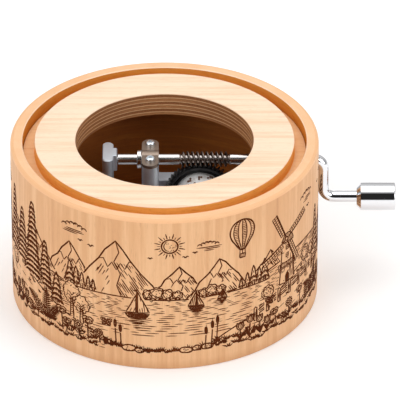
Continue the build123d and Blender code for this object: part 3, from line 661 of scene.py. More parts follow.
def sailboat(u, z, s, flip=1):
    f = flip

    def at(pts):
        return np.array([[u + f * x * s, z + y * s] for x, y in pts])

    hull = at([(-3.1, 0.5), (3.3, 0.75), (2.3, -0.65), (-2.2, -0.65)])
    main = at([(0.2, 1.0), (0.15, 8.0), (1.2, 5.6), (2.5, 3.1), (3.3, 1.25)])
    jib = at([(-0.3, 1.0), (-0.15, 7.0), (-1.5, 3.9), (-2.9, 1.05)])
    for poly in (hull, main, jib):
        clear(poly)
    dark(hull)
    loop(hull, 0.3)
    stroke(at([(0, 0.5), (0, 8.5)]), 0.3)
    loop(main, 0.28)
    loop(jib, 0.28)
    hatch(main, 90 + 8 * f, 0.62 * s, 0.2, dash=5)
    hatch(jib, 90 - 20 * f, 0.8 * s, 0.2, dash=3)
    stroke(at([(0, 8.5), (-0.9, 8.15), (0, 7.8)]), 0.26)
    for k in range(7):
        half = (2.6 - 0.3 * k) * s * rng.uniform(0.7, 1.1)
        y = z - (1.05 + 0.52 * k) * s
        stroke([[u - half, y], [u + half, y]], 0.28 - 0.015 * k, 0.2, 0.2)


def windmill(u, z, s):
    def at(pts):
        return np.array([[u + x * s, z + y * s] for x, y in pts])

    tower = at([(-3.1, 0), (-2.55, 5), (-2.0, 12), (2.0, 12), (2.55, 5), (3.1, 0)])
    clear(tower)
    stroke(tower[:3], 0.34, 1, 1)
    stroke(tower[3:], 0.4, 1, 1)
    stroke(spline(at([(-3.1, 0), (0, -0.4), (3.1, 0)]), 5), 0.3)
    hatch(at([(0.9, 0.3), (0.7, 12), (1.9, 11.8), (2.9, 0.2)]), 84, 0.46 * s, 0.22, dash=6)
    for row in range(20):
        y = 0.5 + row * 0.58
        x = rng.uniform(-2.2, 0.2)
        stroke(at([(x, y), (x + rng.uniform(0.35, 0.75), y)]), 0.2, 1, 1)
    deck = at([(-3.5, 4.4), (3.5, 4.4), (3.5, 4.8), (-3.5, 4.8)])
    clear(deck)
    loop(deck, 0.24)
    for k in range(13):
        x = -3.4 + k * 6.8 / 12
        stroke(at([(x, 4.8), (x, 6.0)]), 0.2, 1, 1)
    stroke(at([(-3.5, 6.0), (3.5, 6.0)]), 0.24, 1, 1)
    for side in (-1, 1):
        for x in (1.1, 2.2, 3.2):
            stroke(at([(side * x, 4.4), (side * (x * 0.7 + 0.6), 3.1)]), 0.22)
    door = np.vstack([at([(-0.7, 0)]), spline(at([(-0.7, 1.7), (0, 2.6), (0.7, 1.7)]), 5), at([(0.7, 0)])])
    clear(door)
    dark(door)
    loop(door, 0.26)
    for y in (7.4, 9.8):
        pane = at([(-0.5, y), (0.5, y), (0.5, y + 1.2), (-0.5, y + 1.2)])
        clear(pane)
        loop(pane, 0.26)
        stroke(at([(0, y), (0, y + 1.2)]), 0.2)
        stroke(at([(-0.5, y + 0.6), (0.5, y + 0.6)]), 0.2)
    cap = np.vstack([at([(-2.4, 12)]), spline(at([(-2.3, 12.6), (-1.2, 14.3), (0.4, 14.8), (1.8, 13.9), (2.5, 12.5)]), 5), at([(2.5, 12)])])
    clear(cap)
    loop(cap, 0.32)
    hatch(cap, 62, 0.5 * s, 0.22, curve=0.4)
    cx, cy = u - 0.3 * s, z + 13.1 * s
    for q in range(4):
        a = math.radians(24 + 90 * q)
        d, n = np.array([math.cos(a), math.sin(a)]), np.array([-math.sin(a), math.cos(a)])
        c = np.array([cx, cy])
        sail = np.array([c + d * 2.0 * s + n * 0.12 * s, c + d * 9.6 * s + n * 0.12 * s,
                         c + d * 9.6 * s + n * 1.75 * s, c + d * 2.0 * s + n * 1.45 * s])
        clear(sail)
        stroke([c, c + d * 9.9 * s], 0.42, 1, 0.8)
        loop(sail, 0.24)
        for r in np.arange(2.9, 9.4, 0.86):
            stroke([c + (d * r + n * 0.1) * s, c + (d * r + n * 1.62) * s], 0.2, 1, 1)
        stroke([c + (d * 2.0 + n * 0.85) * s, c + (d * 9.6 + n * 0.95) * s], 0.2, 1, 1)
    hub = oval(cx, cy, 0.55 * s, 0.55 * s, 12)
    clear(hub)
    loop(hub, 0.32)


def balloon(u, z, s):
    def at(pts):
        return np.array([[u + x * s, z + y * s] for x, y in pts])

    half = [(0.75, 2.6), (1.9, 4.3), (3.2, 6.4), (3.65, 8.3), (3.2, 10.2), (1.9, 11.6), (0, 12.1)]
    body = spline(at(half + [(-x, y) for x, y in half[:-1]][::-1]), 5)
    clear(body)
    loop(body, 0.34)
    for f in (-0.72, -0.36, 0.0, 0.36, 0.72):
        stroke(spline(at([(x * f, y) for x, y in half]), 4), 0.24)
    for f0, f1 in ((-0.72, -0.36), (0.0, 0.36), (0.72, 1.0)):
        a = spline(at([(x * f0, y) for x, y in half]), 4)
        b = spline(at([(x * f1, y) for x, y in half]), 4)
        hatch(np.vstack([a, b[::-1]]), 0, 0.55 * s, 0.22)
    stroke(at([(-0.8, 2.6), (0, 2.35), (0.8, 2.6)]), 0.3)
    basket = at([(-0.75, 0), (0.75, 0), (0.85, 1.2), (-0.85, 1.2)])
    clear(basket)
    loop(basket, 0.32)
    hatch(basket, 90, 0.3 * s, 0.2)
    for x in (-0.8, 0, 0.8):
        stroke(at([(x, 1.2), (x * 0.95, 2.5)]), 0.2, 1, 1)


def fence(path, gap=4.4, tall=4.0):
    p = spline(path, 8)
    s = np.concatenate([[0], np.cumsum(np.hypot(*np.diff(p, axis=0).T))])

    def height(q, lift):
        return np.array([np.interp(q, s, p[:, 0]), np.interp(q, s, p[:, 1]) + lift])

    q = np.arange(0, s[-1], 0.9)
    for lift in (1.3, 2.75):
        low = np.array([height(x, lift) for x in q])
        top = low + [0, 0.62]
        clear(np.vstack([low, top[::-1]]))
        stroke(low, 0.32, 1, 1)
        stroke(top, 0.26, 1, 1)
        for x in np.arange(1, s[-1] - 1, 2.1):
            a = height(x + rng.uniform(-0.4, 0.4), lift + 0.3)
            stroke([a, a + [rng.uniform(0.4, 1.0), 0.0]], 0.18)
    for x in np.arange(0.6, s[-1], gap):
        b = height(x, 0)
        post = np.array([[b[0] - 0.48, b[1] - 0.2], [b[0] + 0.48, b[1] - 0.2], [b[0] + 0.45, b[1] + tall],
                         [b[0], b[1] + tall + 0.35], [b[0] - 0.45, b[1] + tall]])
        clear(post)
        loop(post, 0.3)
        stroke([[b[0] + 0.2, b[1]], [b[0] + 0.22, b[1] + tall - 0.4]], 0.26)
        stroke([[b[0] - 0.15, b[1] + 0.8], [b[0] - 0.12, b[1] + tall - 1.2]], 0.18)


def blades(u, z, h, n=5, spread=1.4):
    for k in range(n):
        f = (k - (n - 1) / 2) / max(1, (n - 1) / 2)
        t = h * rng.uniform(0.6, 1.05) * (1 - 0.3 * abs(f))
        x = u + 0.25 * f * spread
        stroke(spline([[x, z], [x + 0.35 * f * spread, z + 0.55 * t], [x + f * spread * rng.uniform(0.7, 1.2), z + t]], 4),
               rng.uniform(0.25, 0.36), 0.9, 0.12)


def stem(u, z, top, bend, leaf=True):
    line = spline([[u + bend, z], [u + 0.6 * bend, (z + top) / 2], [u, top]], 5)
    stroke(line, 0.34, 1, 0.8)
    if leaf:
        for side in (-1, 1):
            y = z + (top - z) * rng.uniform(0.25, 0.55)
            x = u + bend * 0.7
            tip = [x + side * rng.uniform(1.3, 2.0), y + rng.uniform(0.6, 1.4)]
            edge = spline([[x, y], [x + side * 0.7, y + 0.85], tip], 4)
            back = spline([tip, [x + side * 0.9, y + 0.1], [x, y]], 4)
            clear(np.vstack([edge, back]))
            stroke(edge, 0.26)
            stroke(back, 0.3)
            stroke([[x, y], [(x + tip[0]) / 2, (y + tip[1]) / 2 + 0.05]], 0.18)


def daisy(u, z, top, r, bend=0.6):
    stem(u, z, top, bend)
    n = int(rng.integers(10, 13))
    turn = rng.uniform(0, 1)
    clear(oval(u, top, r, r * 0.92, 18))
    for k in range(n):
        a = 2 * math.pi * (k + turn) / n
        c = (u + 0.66 * r * math.cos(a), top + 0.62 * r * math.sin(a))
        petal = oval(c[0], c[1], 0.38 * r, 0.15 * r + 0.04, 9, a)
        clear(petal)
        loop(petal, 0.24)
    eye = oval(u, top, 0.3 * r, 0.28 * r, 10)
    clear(eye)
    loop(eye, 0.28)
    dark(oval(u + 0.03, top - 0.03, 0.2 * r, 0.17 * r, 8))


def poppy(u, z, top, r, bend=0.5):
    stem(u, z, top, bend, leaf=False)
    for k, (a, q) in enumerate(((2.5, 0.75), (0.65, 0.75), (4.2, 0.72), (5.3, 0.7))):
        c = np.array([u + 0.42 * r * math.cos(a), top + 0.3 * r * math.sin(a) + 0.1 * r])
        t = np.linspace(0, 2 * math.pi, 22, endpoint=False)
        m = q * r * (0.82 + 0.07 * np.sin(5 * t + k))
        petal = np.column_stack([c[0] + m * np.cos(t), c[1] + 0.72 * m * np.sin(t)])
        clear(petal)
        loop(petal, 0.3)
        for b in np.linspace(a - 0.7, a + 0.7, 5):
            d = np.array([math.cos(b), 0.75 * math.sin(b)])
            stroke([np.array([u, top]) + d * 0.42 * r, np.array([u, top]) + d * 0.8 * r], 0.2, 1, 0.2)
    eye = oval(u, top, 0.24 * r, 0.2 * r, 10)
    clear(eye)
    dark(eye)
    for k in range(9):
        a = 2 * math.pi * k / 9
        stroke([[u + 0.3 * r * math.cos(a), top + 0.26 * r * math.sin(a)],
                [u + 0.42 * r * math.cos(a), top + 0.36 * r * math.sin(a)]], 0.24, 1, 1)


def tulip(u, z, top, r, bend=0.3):
    stem(u, z, top, bend, leaf=False)
    for side in (-1, 1):
        edge = spline([[u + bend, z], [u + side * 1.1, z + 1.9], [u + side * 1.5, z + (top - z) * 0.75]], 5)
        back = spline([[u + side * 1.5, z + (top - z) * 0.75], [u + side * 0.55, z + 1.8], [u + bend, z]], 5)
        clear(np.vstack([edge, back]))
        stroke(edge, 0.3)
        stroke(back, 0.26)
        stroke((edge + back[::-1]) / 2, 0.18)
    cup = spline([[u, top - 0.2], [u - 0.85 * r, top + 0.5 * r], [u - 0.8 * r, top + 1.9 * r], [u - 0.3 * r, top + 1.45 * r],
                  [u, top + 2.1 * r], [u + 0.3 * r, top + 1.45 * r], [u + 0.8 * r, top + 1.9 * r],
                  [u + 0.85 * r, top + 0.5 * r]], 4, True)
    clear(cup)
    loop(cup, 0.3)
    for side in (-1, 1):
        stroke(spline([[u, top + 0.1], [u + side * 0.5 * r, top + 0.8 * r], [u + side * 0.05 * r, top + 2.0 * r]], 4), 0.24)
        stroke([[u + side * 0.6 * r, top + 0.6 * r], [u + side * 0.62 * r, top + 1.4 * r]], 0.18)
    stroke([[u, top + 0.5 * r], [u, top + 1.5 * r]], 0.18)


def fern(u, z, length, a, bow):
    t = np.linspace(0, 1, 16)
    ang = a + bow * t
    step = length / 15
    p = np.column_stack([u + np.cumsum(np.cos(ang)) * step, z + np.cumsum(np.sin(ang)) * step])
    stroke(p, 0.3, 1, 0.3)
    for i in range(2, 16):
        f = i / 15
        size = 1.9 * math.sin(math.pi * (0.12 + 0.86 * f)) * length / 9 + 0.25
        for side in (-1, 1):
            b = ang[i] + side * (1.15 - 0.35 * f)
            d = np.array([math.cos(b), math.sin(b)])
            stroke([p[i], p[i] + d * size * 0.5, p[i] + d * size + [0, -0.12 * size]], 0.4, 0.5, 0.15)


def mushroom(u, z, s):
    foot = np.array([[u - 0.45 * s, z], [u - 0.32 * s, z + 1.9 * s], [u + 0.32 * s, z + 1.9 * s], [u + 0.5 * s, z]])
    clear(foot)
    loop(spline(foot, 3, True), 0.26)
    stroke([[u + 0.18 * s, z + 0.3 * s], [u + 0.14 * s, z + 1.6 * s]], 0.26)
    cap = np.vstack([spline([[u - 1.5 * s, z + 1.7 * s], [u - 1.1 * s, z + 2.7 * s], [u, z + 3.2 * s],
                             [u + 1.1 * s, z + 2.7 * s], [u + 1.5 * s, z + 1.7 * s]], 5), [[u, z + 1.5 * s]]])
    clear(cap)
    loop(cap, 0.32)
    for x, y, r in ((-0.6, 2.3, 0.24), (0.15, 2.7, 0.2), (0.7, 2.2, 0.24), (0.0, 2.05, 0.18)):
        loop(oval(u + x * s, z + y * s, r * s, r * 0.8 * s, 8), 0.2)
    stipple(cap, int(22 * s), 0.2, 0.2, 0.8)


def butterfly(u, z, s):
    for side in (-1, 1):
        for poly in (spline([[u, z + 0.1 * s], [u + side * 0.6 * s, z + 1.15 * s], [u + side * 1.45 * s, z + 1.25 * s],
                             [u + side * 1.3 * s, z + 0.4 * s]], 4, True),
                     spline([[u, z], [u + side * 1.0 * s, z + 0.1 * s], [u + side * 1.05 * s, z - 0.75 * s],
                             [u + side * 0.35 * s, z - 0.7 * s]], 4, True)):
            clear(poly)
            loop(poly, 0.26)
            m = poly.mean(0)
            loop((poly - m) * 0.45 + m, 0.2)
        stroke(spline([[u, z + 0.5 * s], [u + side * 0.2 * s, z + 1.1 * s], [u + side * 0.5 * s, z + 1.5 * s]], 3), 0.18)
    stroke([[u, z - 0.6 * s], [u, z + 0.55 * s]], 0.42, 0.4, 0.7)


def water(u0, u1, low, high):
    z = low
    while z < high:
        near = 1 - (z - low) / (high - low)
        u = u0 + rng.uniform(0, 4)
        while u < u1:
            size = rng.uniform(1.0, 3.0) * (0.7 + 1.3 * near)
            stroke([[u, z], [u + size * 0.5, z + 0.07], [u + size, z]], rng.uniform(0.17, 0.24), 0.2, 0.2)
            u += size + rng.uniform(0.6, 4.2)
        z += 0.38 + 0.42 * near


def bank(path, low, tufts=True):
    """Ground in front of what was drawn before, with grass along its edge."""
    p = spline(path, 8)
    clear(np.vstack([p, [[p[-1, 0], low], [p[0, 0], low]]]))
    stroke(p, 0.32, 0.5, 0.5)
    for k in range(int((p[-1, 0] - p[0, 0]) / 1.1) if tufts else 0):
        x = rng.uniform(p[0, 0], p[-1, 0])
        y = np.interp(x, p[:, 0], p[:, 1])
        drop = rng.uniform(0, 1) ** 1.5 * 4.5
        if rng.uniform() < 0.55:
            blades(x, y - drop, rng.uniform(0.8, 1.5), 3, 0.6)
        else:
            stroke([[x, y - drop], [x + rng.uniform(0.8, 2.4), y - drop - 0.1]], 0.2, 0.2, 0.2)
    return p

# ---- the landscape, from far to near. The front is u -55 to 55.
ROUND = 2 * math.pi * OUT_R
HALF = ROUND / 2
sun(1.5, 37.0, 2.1)
sun(110, 37.0, 2.3)
for u0, z0, h, w in ((-26, 20, 13.5, 10.5), (4, 20, 10.5, 9), (-12.5, 20, 17.5, 12.5), (14.5, 20, 11.5, 9), (30, 20, 9.0, 10),
                     (-50, 20, 9.5, 10), (-39, 20, 12, 10), (78, 20, 12, 12), (62, 20, 9, 9), (95, 20, 15, 12),
                     (-68, 20, 12, 11), (-84, 20, 15, 13), (-98, 20, 9, 9)):
    mountain(u0, z0, h, w)
for u0, z0, w in ((-24.5, 38.0, 7.6), (11.5, 36.2, 5.6), (46, 37.8, 6.5), (-62, 36.5, 9), (73, 37.5, 9), (92, 40, 7), (-90, 39.5, 8),
                  (-113, 37.0, 9), (120, 40.0, 6)):
    cloud(u0, z0, w)
for u0, z0, s in ((-19.5, 34.0, 1.0), (-22.6, 34.8, 0.8), (5.5, 33.2, 0.9), (8.0, 34.4, 0.75), (-3.5, 33.0, 0.7), (47, 34.0, 1.0), (56, 36, 0.9), (59, 38, 1.0),
                  (-76, 34.5, 1.0), (-79, 36.5, 0.8), (104, 35.0, 0.9), (84, 35.5, 0.9), (-104, 34.5, 1)):
    bird(u0, z0, s)
balloon(21.0, 30.2, 0.98)
balloon(-104, 26.5, 0.8)

# hills behind the water
for path in (((-66, 21), (-56, 23.6), (-47, 24.2), (-38, 22.4), (-28, 20.4)), ((16, 20.4), (24, 21.6), (33, 23.6), (44, 24.6), (56, 23.6), (68, 21)),
             ((60, 21), (74, 23.4), (88, 22.0), (104, 24.4), (118, 23.0), (131, 21.5)),
             ((-131, 21.5), (-120, 22.6), (-104, 24.2), (-90, 22.4), (-76, 23.8), (-62, 21.2))):
    line = bank(path, 19.6, tufts=False)
    hatch(np.vstack([line, [[line[-1, 0], 19.9], [line[0, 0], 19.9]]]), 8, 0.62, 0.2, dash=3.4, curve=0.5)
for u0, h in ((-24.0, 5.5), (-22.2, 4.2), (-26.0, 6.8), (-20.3, 3.6), (-18.8, 2.8), (22.5, 4.0), (24.4, 5.6), (26.2, 4.4), (28.0, 6.4), (20.6, 2.8)):
    conifer(u0, 20.9, h, h * 0.27, 0.9)
for u0, r in ((-4.0, 1.3), (-1.6, 1.7), (1.0, 1.35), (3.4, 1.1), (10.4, 1.2), (12.6, 1.6), (14.9, 1.2)):
    round_tree(u0, 20.2, r, 0.4)
for u0, r, p in ((74, 2.2, 1), (78.4, 1.7, 1), (100, 1.2, 2.4), (103.4, 1.25, 2.6), (106.8, 1.2, 2.3), (-72, 2.3, 1), (-96, 1.3, 2.5),
                 (-99.6, 1.25, 2.2), (-116, 2.2, 1), (121, 2.0, 1)):
    round_tree(u0, 21.8, r, 1.2, p)
stroke(spline([(-40, 20.2), (-26, 20.0), (-12, 20.25), (2, 20.0), (16, 20.3), (30, 20.1)], 8), 0.3, 0.4, 0.4)
water(-38, 40, 8.6, 19.6)
water(64, 126, 13.5, 19.4)
water(-126, -66, 13.5, 19.4)
sailboat(-7.0, 14.7, 0.98)
sailboat(8.4, 17.2, 0.66, -1)
sailboat(15.2, 18.6, 0.42)
sailboat(88, 16.6, 0.75)
sailboat(-84, 16.4, 0.8, -1)

# right: meadow, windmill and fence
line = bank(((11.5, 5.0), (17.5, 8.2), (25, 11.2), (33, 14.6), (42, 17.8), (52, 18.6), (62, 17.2), (70, 15.0)), 2.0)
hatch([(22, 6), (30, 10), (44, 15), (60, 15), (60, 9), (40, 7)], 12, 1.9, 0.2, dash=2.2, curve=1.2, jitter=0.5)
windmill(36.5, 16.2, 1.02)
round_tree(29.2, 13.0, 1.9, 1.1)
round_tree(45.4, 16.8, 2.1, 1.5)
round_tree(49.6, 16.6, 1.7, 1.3)
conifer(53.5, 16.6, 14, 3.2, 1.0)
conifer(59, 16.0, 11, 2.7, 1.0)
fence(((24.5, 8.6), (33, 11.2), (44, 12.6), (55, 12.2), (66, 10.6)), 4.3, 3.7)

# left: slope with tall conifers and birches
line = bank(((-72, 14.4), (-62, 17.4), (-53, 18.4), (-44, 16.8), (-36, 13.6), (-28, 10.4), (-20.5, 8.2), (-13, 5.2)), 2.0)
hatch([(-62, 14), (-46, 14.5), (-34, 9.5), (-24, 6.5), (-40, 6.5), (-60, 8)], -12, 1.9, 0.2, dash=2.2, curve=1.2, jitter=0.5)
conifer(-59.0, 17.0, 15.0, 3.5, 1.0)
conifer(-35.0, 14.6, 15.0, 3.3, 1.1)
conifer(-52.5, 17.0, 20.5, 4.1, 1.1)
conifer(-46.4, 17.0, 17.0, 4.0, 1.1)
conifer(-40.6, 15.0, 23.5, 4.7, 1.2)
conifer(-30.6, 12.2, 9.6, 2.6, 1.1)
birch(-25.4, 9.6, 10.6)
birch(-22.4, 8.6, 8.0)
round_tree(-52.0, 12.6, 2.1, 1.0)

# the back
line = bank(((58, 12.5), (72, 14.2), (86, 12.6), (100, 14.8), (114, 13.4), (HALF, 13.0)), 2.0)
line = bank(((-HALF, 13.0), (-114, 14.6), (-100, 12.8), (-86, 14.4), (-72, 13.0), (-60, 14.6)), 2.0)
for u0, z0, h in ((68, 13.6, 15), (73.5, 13.2, 11.5), (112, 13.0, 17), (118.5, 12.6, 13.5), (-121, 13.0, 11), (-107, 13.4, 16), (-101.5, 12.6, 12),
                  (-69, 13.2, 15)):
    conifer(u0, z0, h, h * 0.23, 1.0)
birch(81, 12.4, 11)
birch(-90.5, 13.2, 12)
birch(-76, 12.4, 9)
round_tree(104, 13.4, 2.8, 1.8)
round_tree(-113, 13.2, 2.6, 1.6)
fence(((76, 8.8), (90, 10.2), (104, 9.6), (118, 10.6)), 4.4, 3.7)
fence(((-120, 10.4), (-106, 9.4), (-92, 10.4), (-80, 9.2)), 4.4, 3.7)


# foreground
def turf(u0, u1, base, tall, every=1.25):
    u = u0
    while u < u1:
        blades(u, base + rng.uniform(-0.9, 0.5), tall * rng.uniform(0.55, 1.1), int(rng.integers(4, 7)), rng.uniform(0.9, 1.7))
        u += every * rng.uniform(0.6, 1.4)


for u0, u1 in ((-HALF + 1, -14.5), (14.0, HALF - 1)):
    turf(u0, u1, 5.6, 2.6, 1.9)
fern(-34.5, 4.6, 9.5, 2.15, 0.75)
fern(-33.6, 4.4, 8.0, 1.35, -0.75)
fern(-34.0, 4.4, 9.5, 1.72, -0.2)
fern(51.5, 4.4, 8.5, 2.05, 0.7)
fern(52.2, 4.2, 9.0, 1.6, -0.15)
fern(52.8, 4.4, 7.5, 1.15, -0.7)
for u0, a, b in ((-92, 2.1, 0.7), (-91.4, 1.6, -0.2), (-90.8, 1.1, -0.7), (96, 2.1, 0.7), (96.6, 1.5, -0.3), (97, 1.0, -0.6)):
    fern(u0, 4.6, 8.5, a, b)
for u0, top, r in ((-29.0, 10.4, 1.7), (-27.0, 7.6, 1.4), (-20.6, 10.2, 1.7), (31.5, 8.6, 1.5), (42.5, 10.2, 1.6), (71, 10.4, 1.7), (76, 8.4, 1.5),
                   (-64, 9.6, 1.6), (-111, 10.0, 1.7), (-116, 8.2, 1.5)):
    poppy(u0, 4.4, top, r, rng.uniform(-0.8, 0.8))
for u0, top, r in ((-23.4, 8.0, 1.4), (-38.6, 8.2, 1.4), (-17.4, 7.4, 1.2), (37.4, 8.8, 1.45), (46.4, 7.8, 1.3), (56.0, 9.2, 1.5), (59.4, 7.4, 1.3),
                   (-58, 9.4, 1.5), (-54.8, 7.6, 1.3), (86, 9.2, 1.5), (89.6, 7.4, 1.3), (-98, 9.0, 1.5), (-102, 7.4, 1.3), (119, 9.0, 1.5),
                   (-73, 8.6, 1.4)):
    daisy(u0, 4.2, top, r, rng.uniform(-0.7, 0.7))
for u0, top in ((20.4, 7.4), (23.4, 8.8), (26.4, 7.8), (29.0, 6.4), (-46.5, 8.4), (-44.0, 7.0), (-49.4, 7.4), (64.0, 8.2), (66.6, 7.0), (103, 8.2), (106, 7.0),
                (109, 8.6), (-82, 8.4), (-85, 7.0), (-122, 8.0)):
    tulip(u0, 4.0, top, 1.12, rng.uniform(-0.4, 0.4))
mushroom(-42.0, 4.2, 0.95)
mushroom(-40.6, 3.9, 0.62)
mushroom(34.6, 4.0, 0.85)
mushroom(36.1, 3.8, 0.58)
mushroom(92.5, 4.0, 0.9)
mushroom(-106, 4.0, 0.9)
turf(-HALF + 1, -17.5, 3.5, 1.8, 1.7)
turf(17.0, HALF - 1, 3.5, 1.8, 1.7)
# reeds and stones by the water in the middle
for u0 in np.arange(-15.5, 16.5, 0.95):
    dip = 4.3 - 0.9 * math.cos(u0 / 9)
    blades(u0, dip + rng.uniform(-0.4, 0.4), rng.uniform(1.3, 3.0) * (0.75 + 0.25 * abs(u0) / 15), 4, 0.8)
for u0, z0, a, b in ((-9.2, 4.2, 1.9, 1.0), (-6.4, 3.8, 1.2, 0.7), (5.6, 4.0, 1.7, 0.9), (8.4, 4.3, 1.2, 0.75), (11.2, 4.5, 1.5, 0.9)):
    stone = spline(oval(u0, z0, a, b, 8) + rng.uniform(-0.14, 0.14, (8, 2)), 4, True)
    clear(stone)
    loop(stone, 0.32)
    stipple(stone, 30, 0.22, 0.24, 0.9)
for u0, top in ((-12.8, 10.8), (-11.4, 9.4), (12.6, 10.4), (14.0, 11.6), (10.9, 8.8)):
    reed = spline([[u0 * 0.97, 4.0], [u0 * 0.985, top * 0.6], [u0, top]], 5)
    stroke(reed, 0.28, 1, 0.8)
    head = oval(u0, top + 0.7, 0.32, 1.15, 12, 0.03)
    clear(head)
    dark(head)
    loop(head, 0.26)
    stroke([[u0, top + 1.8], [u0 + 0.05, top + 2.5]], 0.2)
butterfly(-15.2, 11.2, 1.0)
butterfly(29.8, 12.6, 0.95)
butterfly(50.0, 9.4, 0.85)
butterfly(-68, 12.4, 1.0)
butterfly(82, 11.6, 1.0)


# the plain band at the foot, and where the drawing meets itself at the back
clear([[-300, -9], [300, -9], [300, 2.3], [-300, 2.3]])
# the hole for the crank, with plain wood round it
hole_u = OUT_R * (math.asin(SHAFT_Y / OUT_R) + math.pi / 2)
clear(oval(hole_u, (SHAFT_Z - 1.9) / 0.955, SHAFT_HOLE + 0.9, (SHAFT_HOLE + 0.8) / 0.955, 40))
for seam in ([[-HALF - 20, 0], [-HALF, 0], [-HALF, 50], [-HALF - 20, 50]], [[HALF, 0], [HALF + 20, 0], [HALF + 20, 50], [HALF, 50]]):
    clear(seam)


def engraving():
    """The lines as thin closed strips standing 0.02 mm off the drum."""
    verts, faces = [], []
    base = 0
    top_r, low_r = OUT_R + 0.025, OUT_R - 0.03
    for k, item in enumerate(LINES):
        p, w = item[:2]
        n = len(p)
        t = np.gradient(p, axis=0)
        t /= np.hypot(t[:, 0], t[:, 1])[:, None] + 1e-9
        side = np.column_stack([-t[:, 1], t[:, 0]]) * w[:, None] / 2
        a, b = p + side, p - side
        lift = top_r - 0.0015 * (k % 7)
        block = np.empty((n, 4, 3))
        for j, (q, r) in enumerate(((a, lift), (b, lift), (b, low_r), (a, low_r))):
            angle = q[:, 0] / OUT_R - math.pi / 2
            block[:, j] = np.column_stack([r * np.cos(angle), r * np.sin(angle), 1.9 + 0.955 * q[:, 1]])
        verts.append(block.reshape(-1, 3) * 0.001)
        i = base + 4 * np.arange(n - 1)
        for c0, c1 in ((1, 0), (0, 3), (3, 2), (2, 1)):
            faces.append(np.column_stack([i + c0, i + c0 + 4, i + c1 + 4, i + c1]))
        e = base + 4 * (n - 1)
        faces.append(np.array([[base, base + 3, base + 2, base + 1], [e, e + 1, e + 2, e + 3]]))
        base += 4 * n
    return np.vstack(verts), np.vstack(faces)


def burnt(name):
    """Laser-burnt wood: dark brown, browner where the burn is light, with a fine char texture."""
    t = Tree(name)
    char = t.noise(t.map((3200, 3200, 900)), detail=4.0, rough=0.7)
    depth = t.noise(t.map((260, 260, 120)), detail=3.0)
    tone = t.math("ADD", t.math("MULTIPLY", char, 0.55), t.math("MULTIPLY", depth, 0.45))
    col = t.ramp(tone, [(0.32, srgb(62, 26, 9)), (0.52, srgb(84, 39, 16)), (0.72, srgb(118, 63, 30))])
    return t.surface(
        Base_Color=col, Roughness=t.level(char, 0.3, 0.7, 0.82, 0.66),
        Normal=t.bump(char, 0.4, 0.00003), Specular_IOR_Level=0.03,
    )


art_verts, art_faces = engraving()
art_mesh = bpy.data.meshes.new("engraved_lines")
art_mesh.vertices.add(len(art_verts))
art_mesh.vertices.foreach_set("co", art_verts.astype(np.float32).ravel())
art_mesh.loops.add(art_faces.size)
art_mesh.loops.foreach_set("vertex_index", art_faces.astype(np.int32).ravel())
art_mesh.polygons.add(len(art_faces))
art_mesh.polygons.foreach_set("loop_start", (4 * np.arange(len(art_faces))).astype(np.int32))
art_mesh.polygons.foreach_set("loop_total", np.full(len(art_faces), 4, np.int32))
art_mesh.update(calc_edges=True)
art_mesh.validate()
art_mesh.materials.append(burnt("burnt_lines"))
art = bpy.data.objects.new("engraved_lines", art_mesh)
scene.collection.objects.link(art)
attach(art, "case")



# ---------------------------------------------------------------- carried-over CAD pieces
def dress(node, mat):
    me = nodes[node].data
    me.materials.clear()
    me.materials.append(mat)


base_ply = wood(
    "base_ply", srgb(228, 186, 136), srgb(214, 168, 118), srgb(190, 140, 92),
    along=(26, 560, 560), across=(240, 4600, 4600), rough=0.6, pores=0.4,
)
zinc = metal("zinc_casting", (0.75, 0.80, 0.86), 0.52, 0.08, (1500, 1500, 1500), 0.35, 0.7, 0.4)
# painted reflection: the nickel strap's base colour is a dark brown, standing in for the wood it reflects
nickel = metal("nickel_strap", (0.33, 0.255, 0.205), 0.46, 0.08, (300, 4200, 300), 0.08, 0.7, 0.5)
bright = metal("bright_screws", (0.80, 0.88, 0.95), 0.26, 0.06, (2500, 2500, 2500), 0.05, 0.85, 0.2)
dark_steel = metal("dark_screws", (0.40, 0.40, 0.42), 0.3, 0.07, (2500, 2500, 2500), 0.12, 0.7, 0.4)
steel = metal("polished_steel", (0.66, 0.65, 0.64), 0.17, 0.05, (5200, 500, 500), 0.06, 0.8, 0.25)
comb_steel = metal("comb_steel", (0.56, 0.57, 0.60), 0.28, 0.07, (600, 6000, 600), 0.12, 0.75, 0.3)


def off_axis(t, node, point, a, b):
    """Distance from the piece's own axis, in metres; a and b are the two coordinates across it."""
    mid = nodes[node].matrix_world.inverted() @ Vector(point)
    xyz = t.put("ShaderNodeSeparateXYZ", Vector=t.coord)
    d = [t.math("SUBTRACT", xyz.outputs[k], mid[k]) for k in (a, b)]
    return t.math("SQRT", t.math("ADD", t.math("MULTIPLY", d[0], d[0]), t.math("MULTIPLY", d[1], d[1])))


# plated brass, a little tarnished, with darker pins
t = Tree("cylinder_silver")
fine = t.noise(t.map((5000, 320, 5000)), detail=4.0, rough=0.7)
stain = t.noise(t.map((420, 420, 420)), detail=5.0, rough=0.65)
pin = t.level(off_axis(t, "pinned_cylinder", (0.00925, 0, SHAFT_Z * MM - 0.01045), 0, 2), 0.006505, 0.00653)
plate = t.mix(t.level(stain, 0.5, 0.68, 0.0, 0.7), (0.90, 0.89, 0.88), (0.42, 0.30, 0.24))
silver = t.surface(
    Base_Color=t.mix(pin, plate, t.ramp(stain, [(0.3, (0.10, 0.045, 0.025)), (0.7, (0.20, 0.10, 0.06))])),
    Metallic=t.level(pin, 0.0, 1.0, 0.3, 0.2), Roughness=t.level(fine, 0.25, 0.75, 0.38, 0.5),
    Normal=t.bump(fine, 0.1, 0.00003),
)
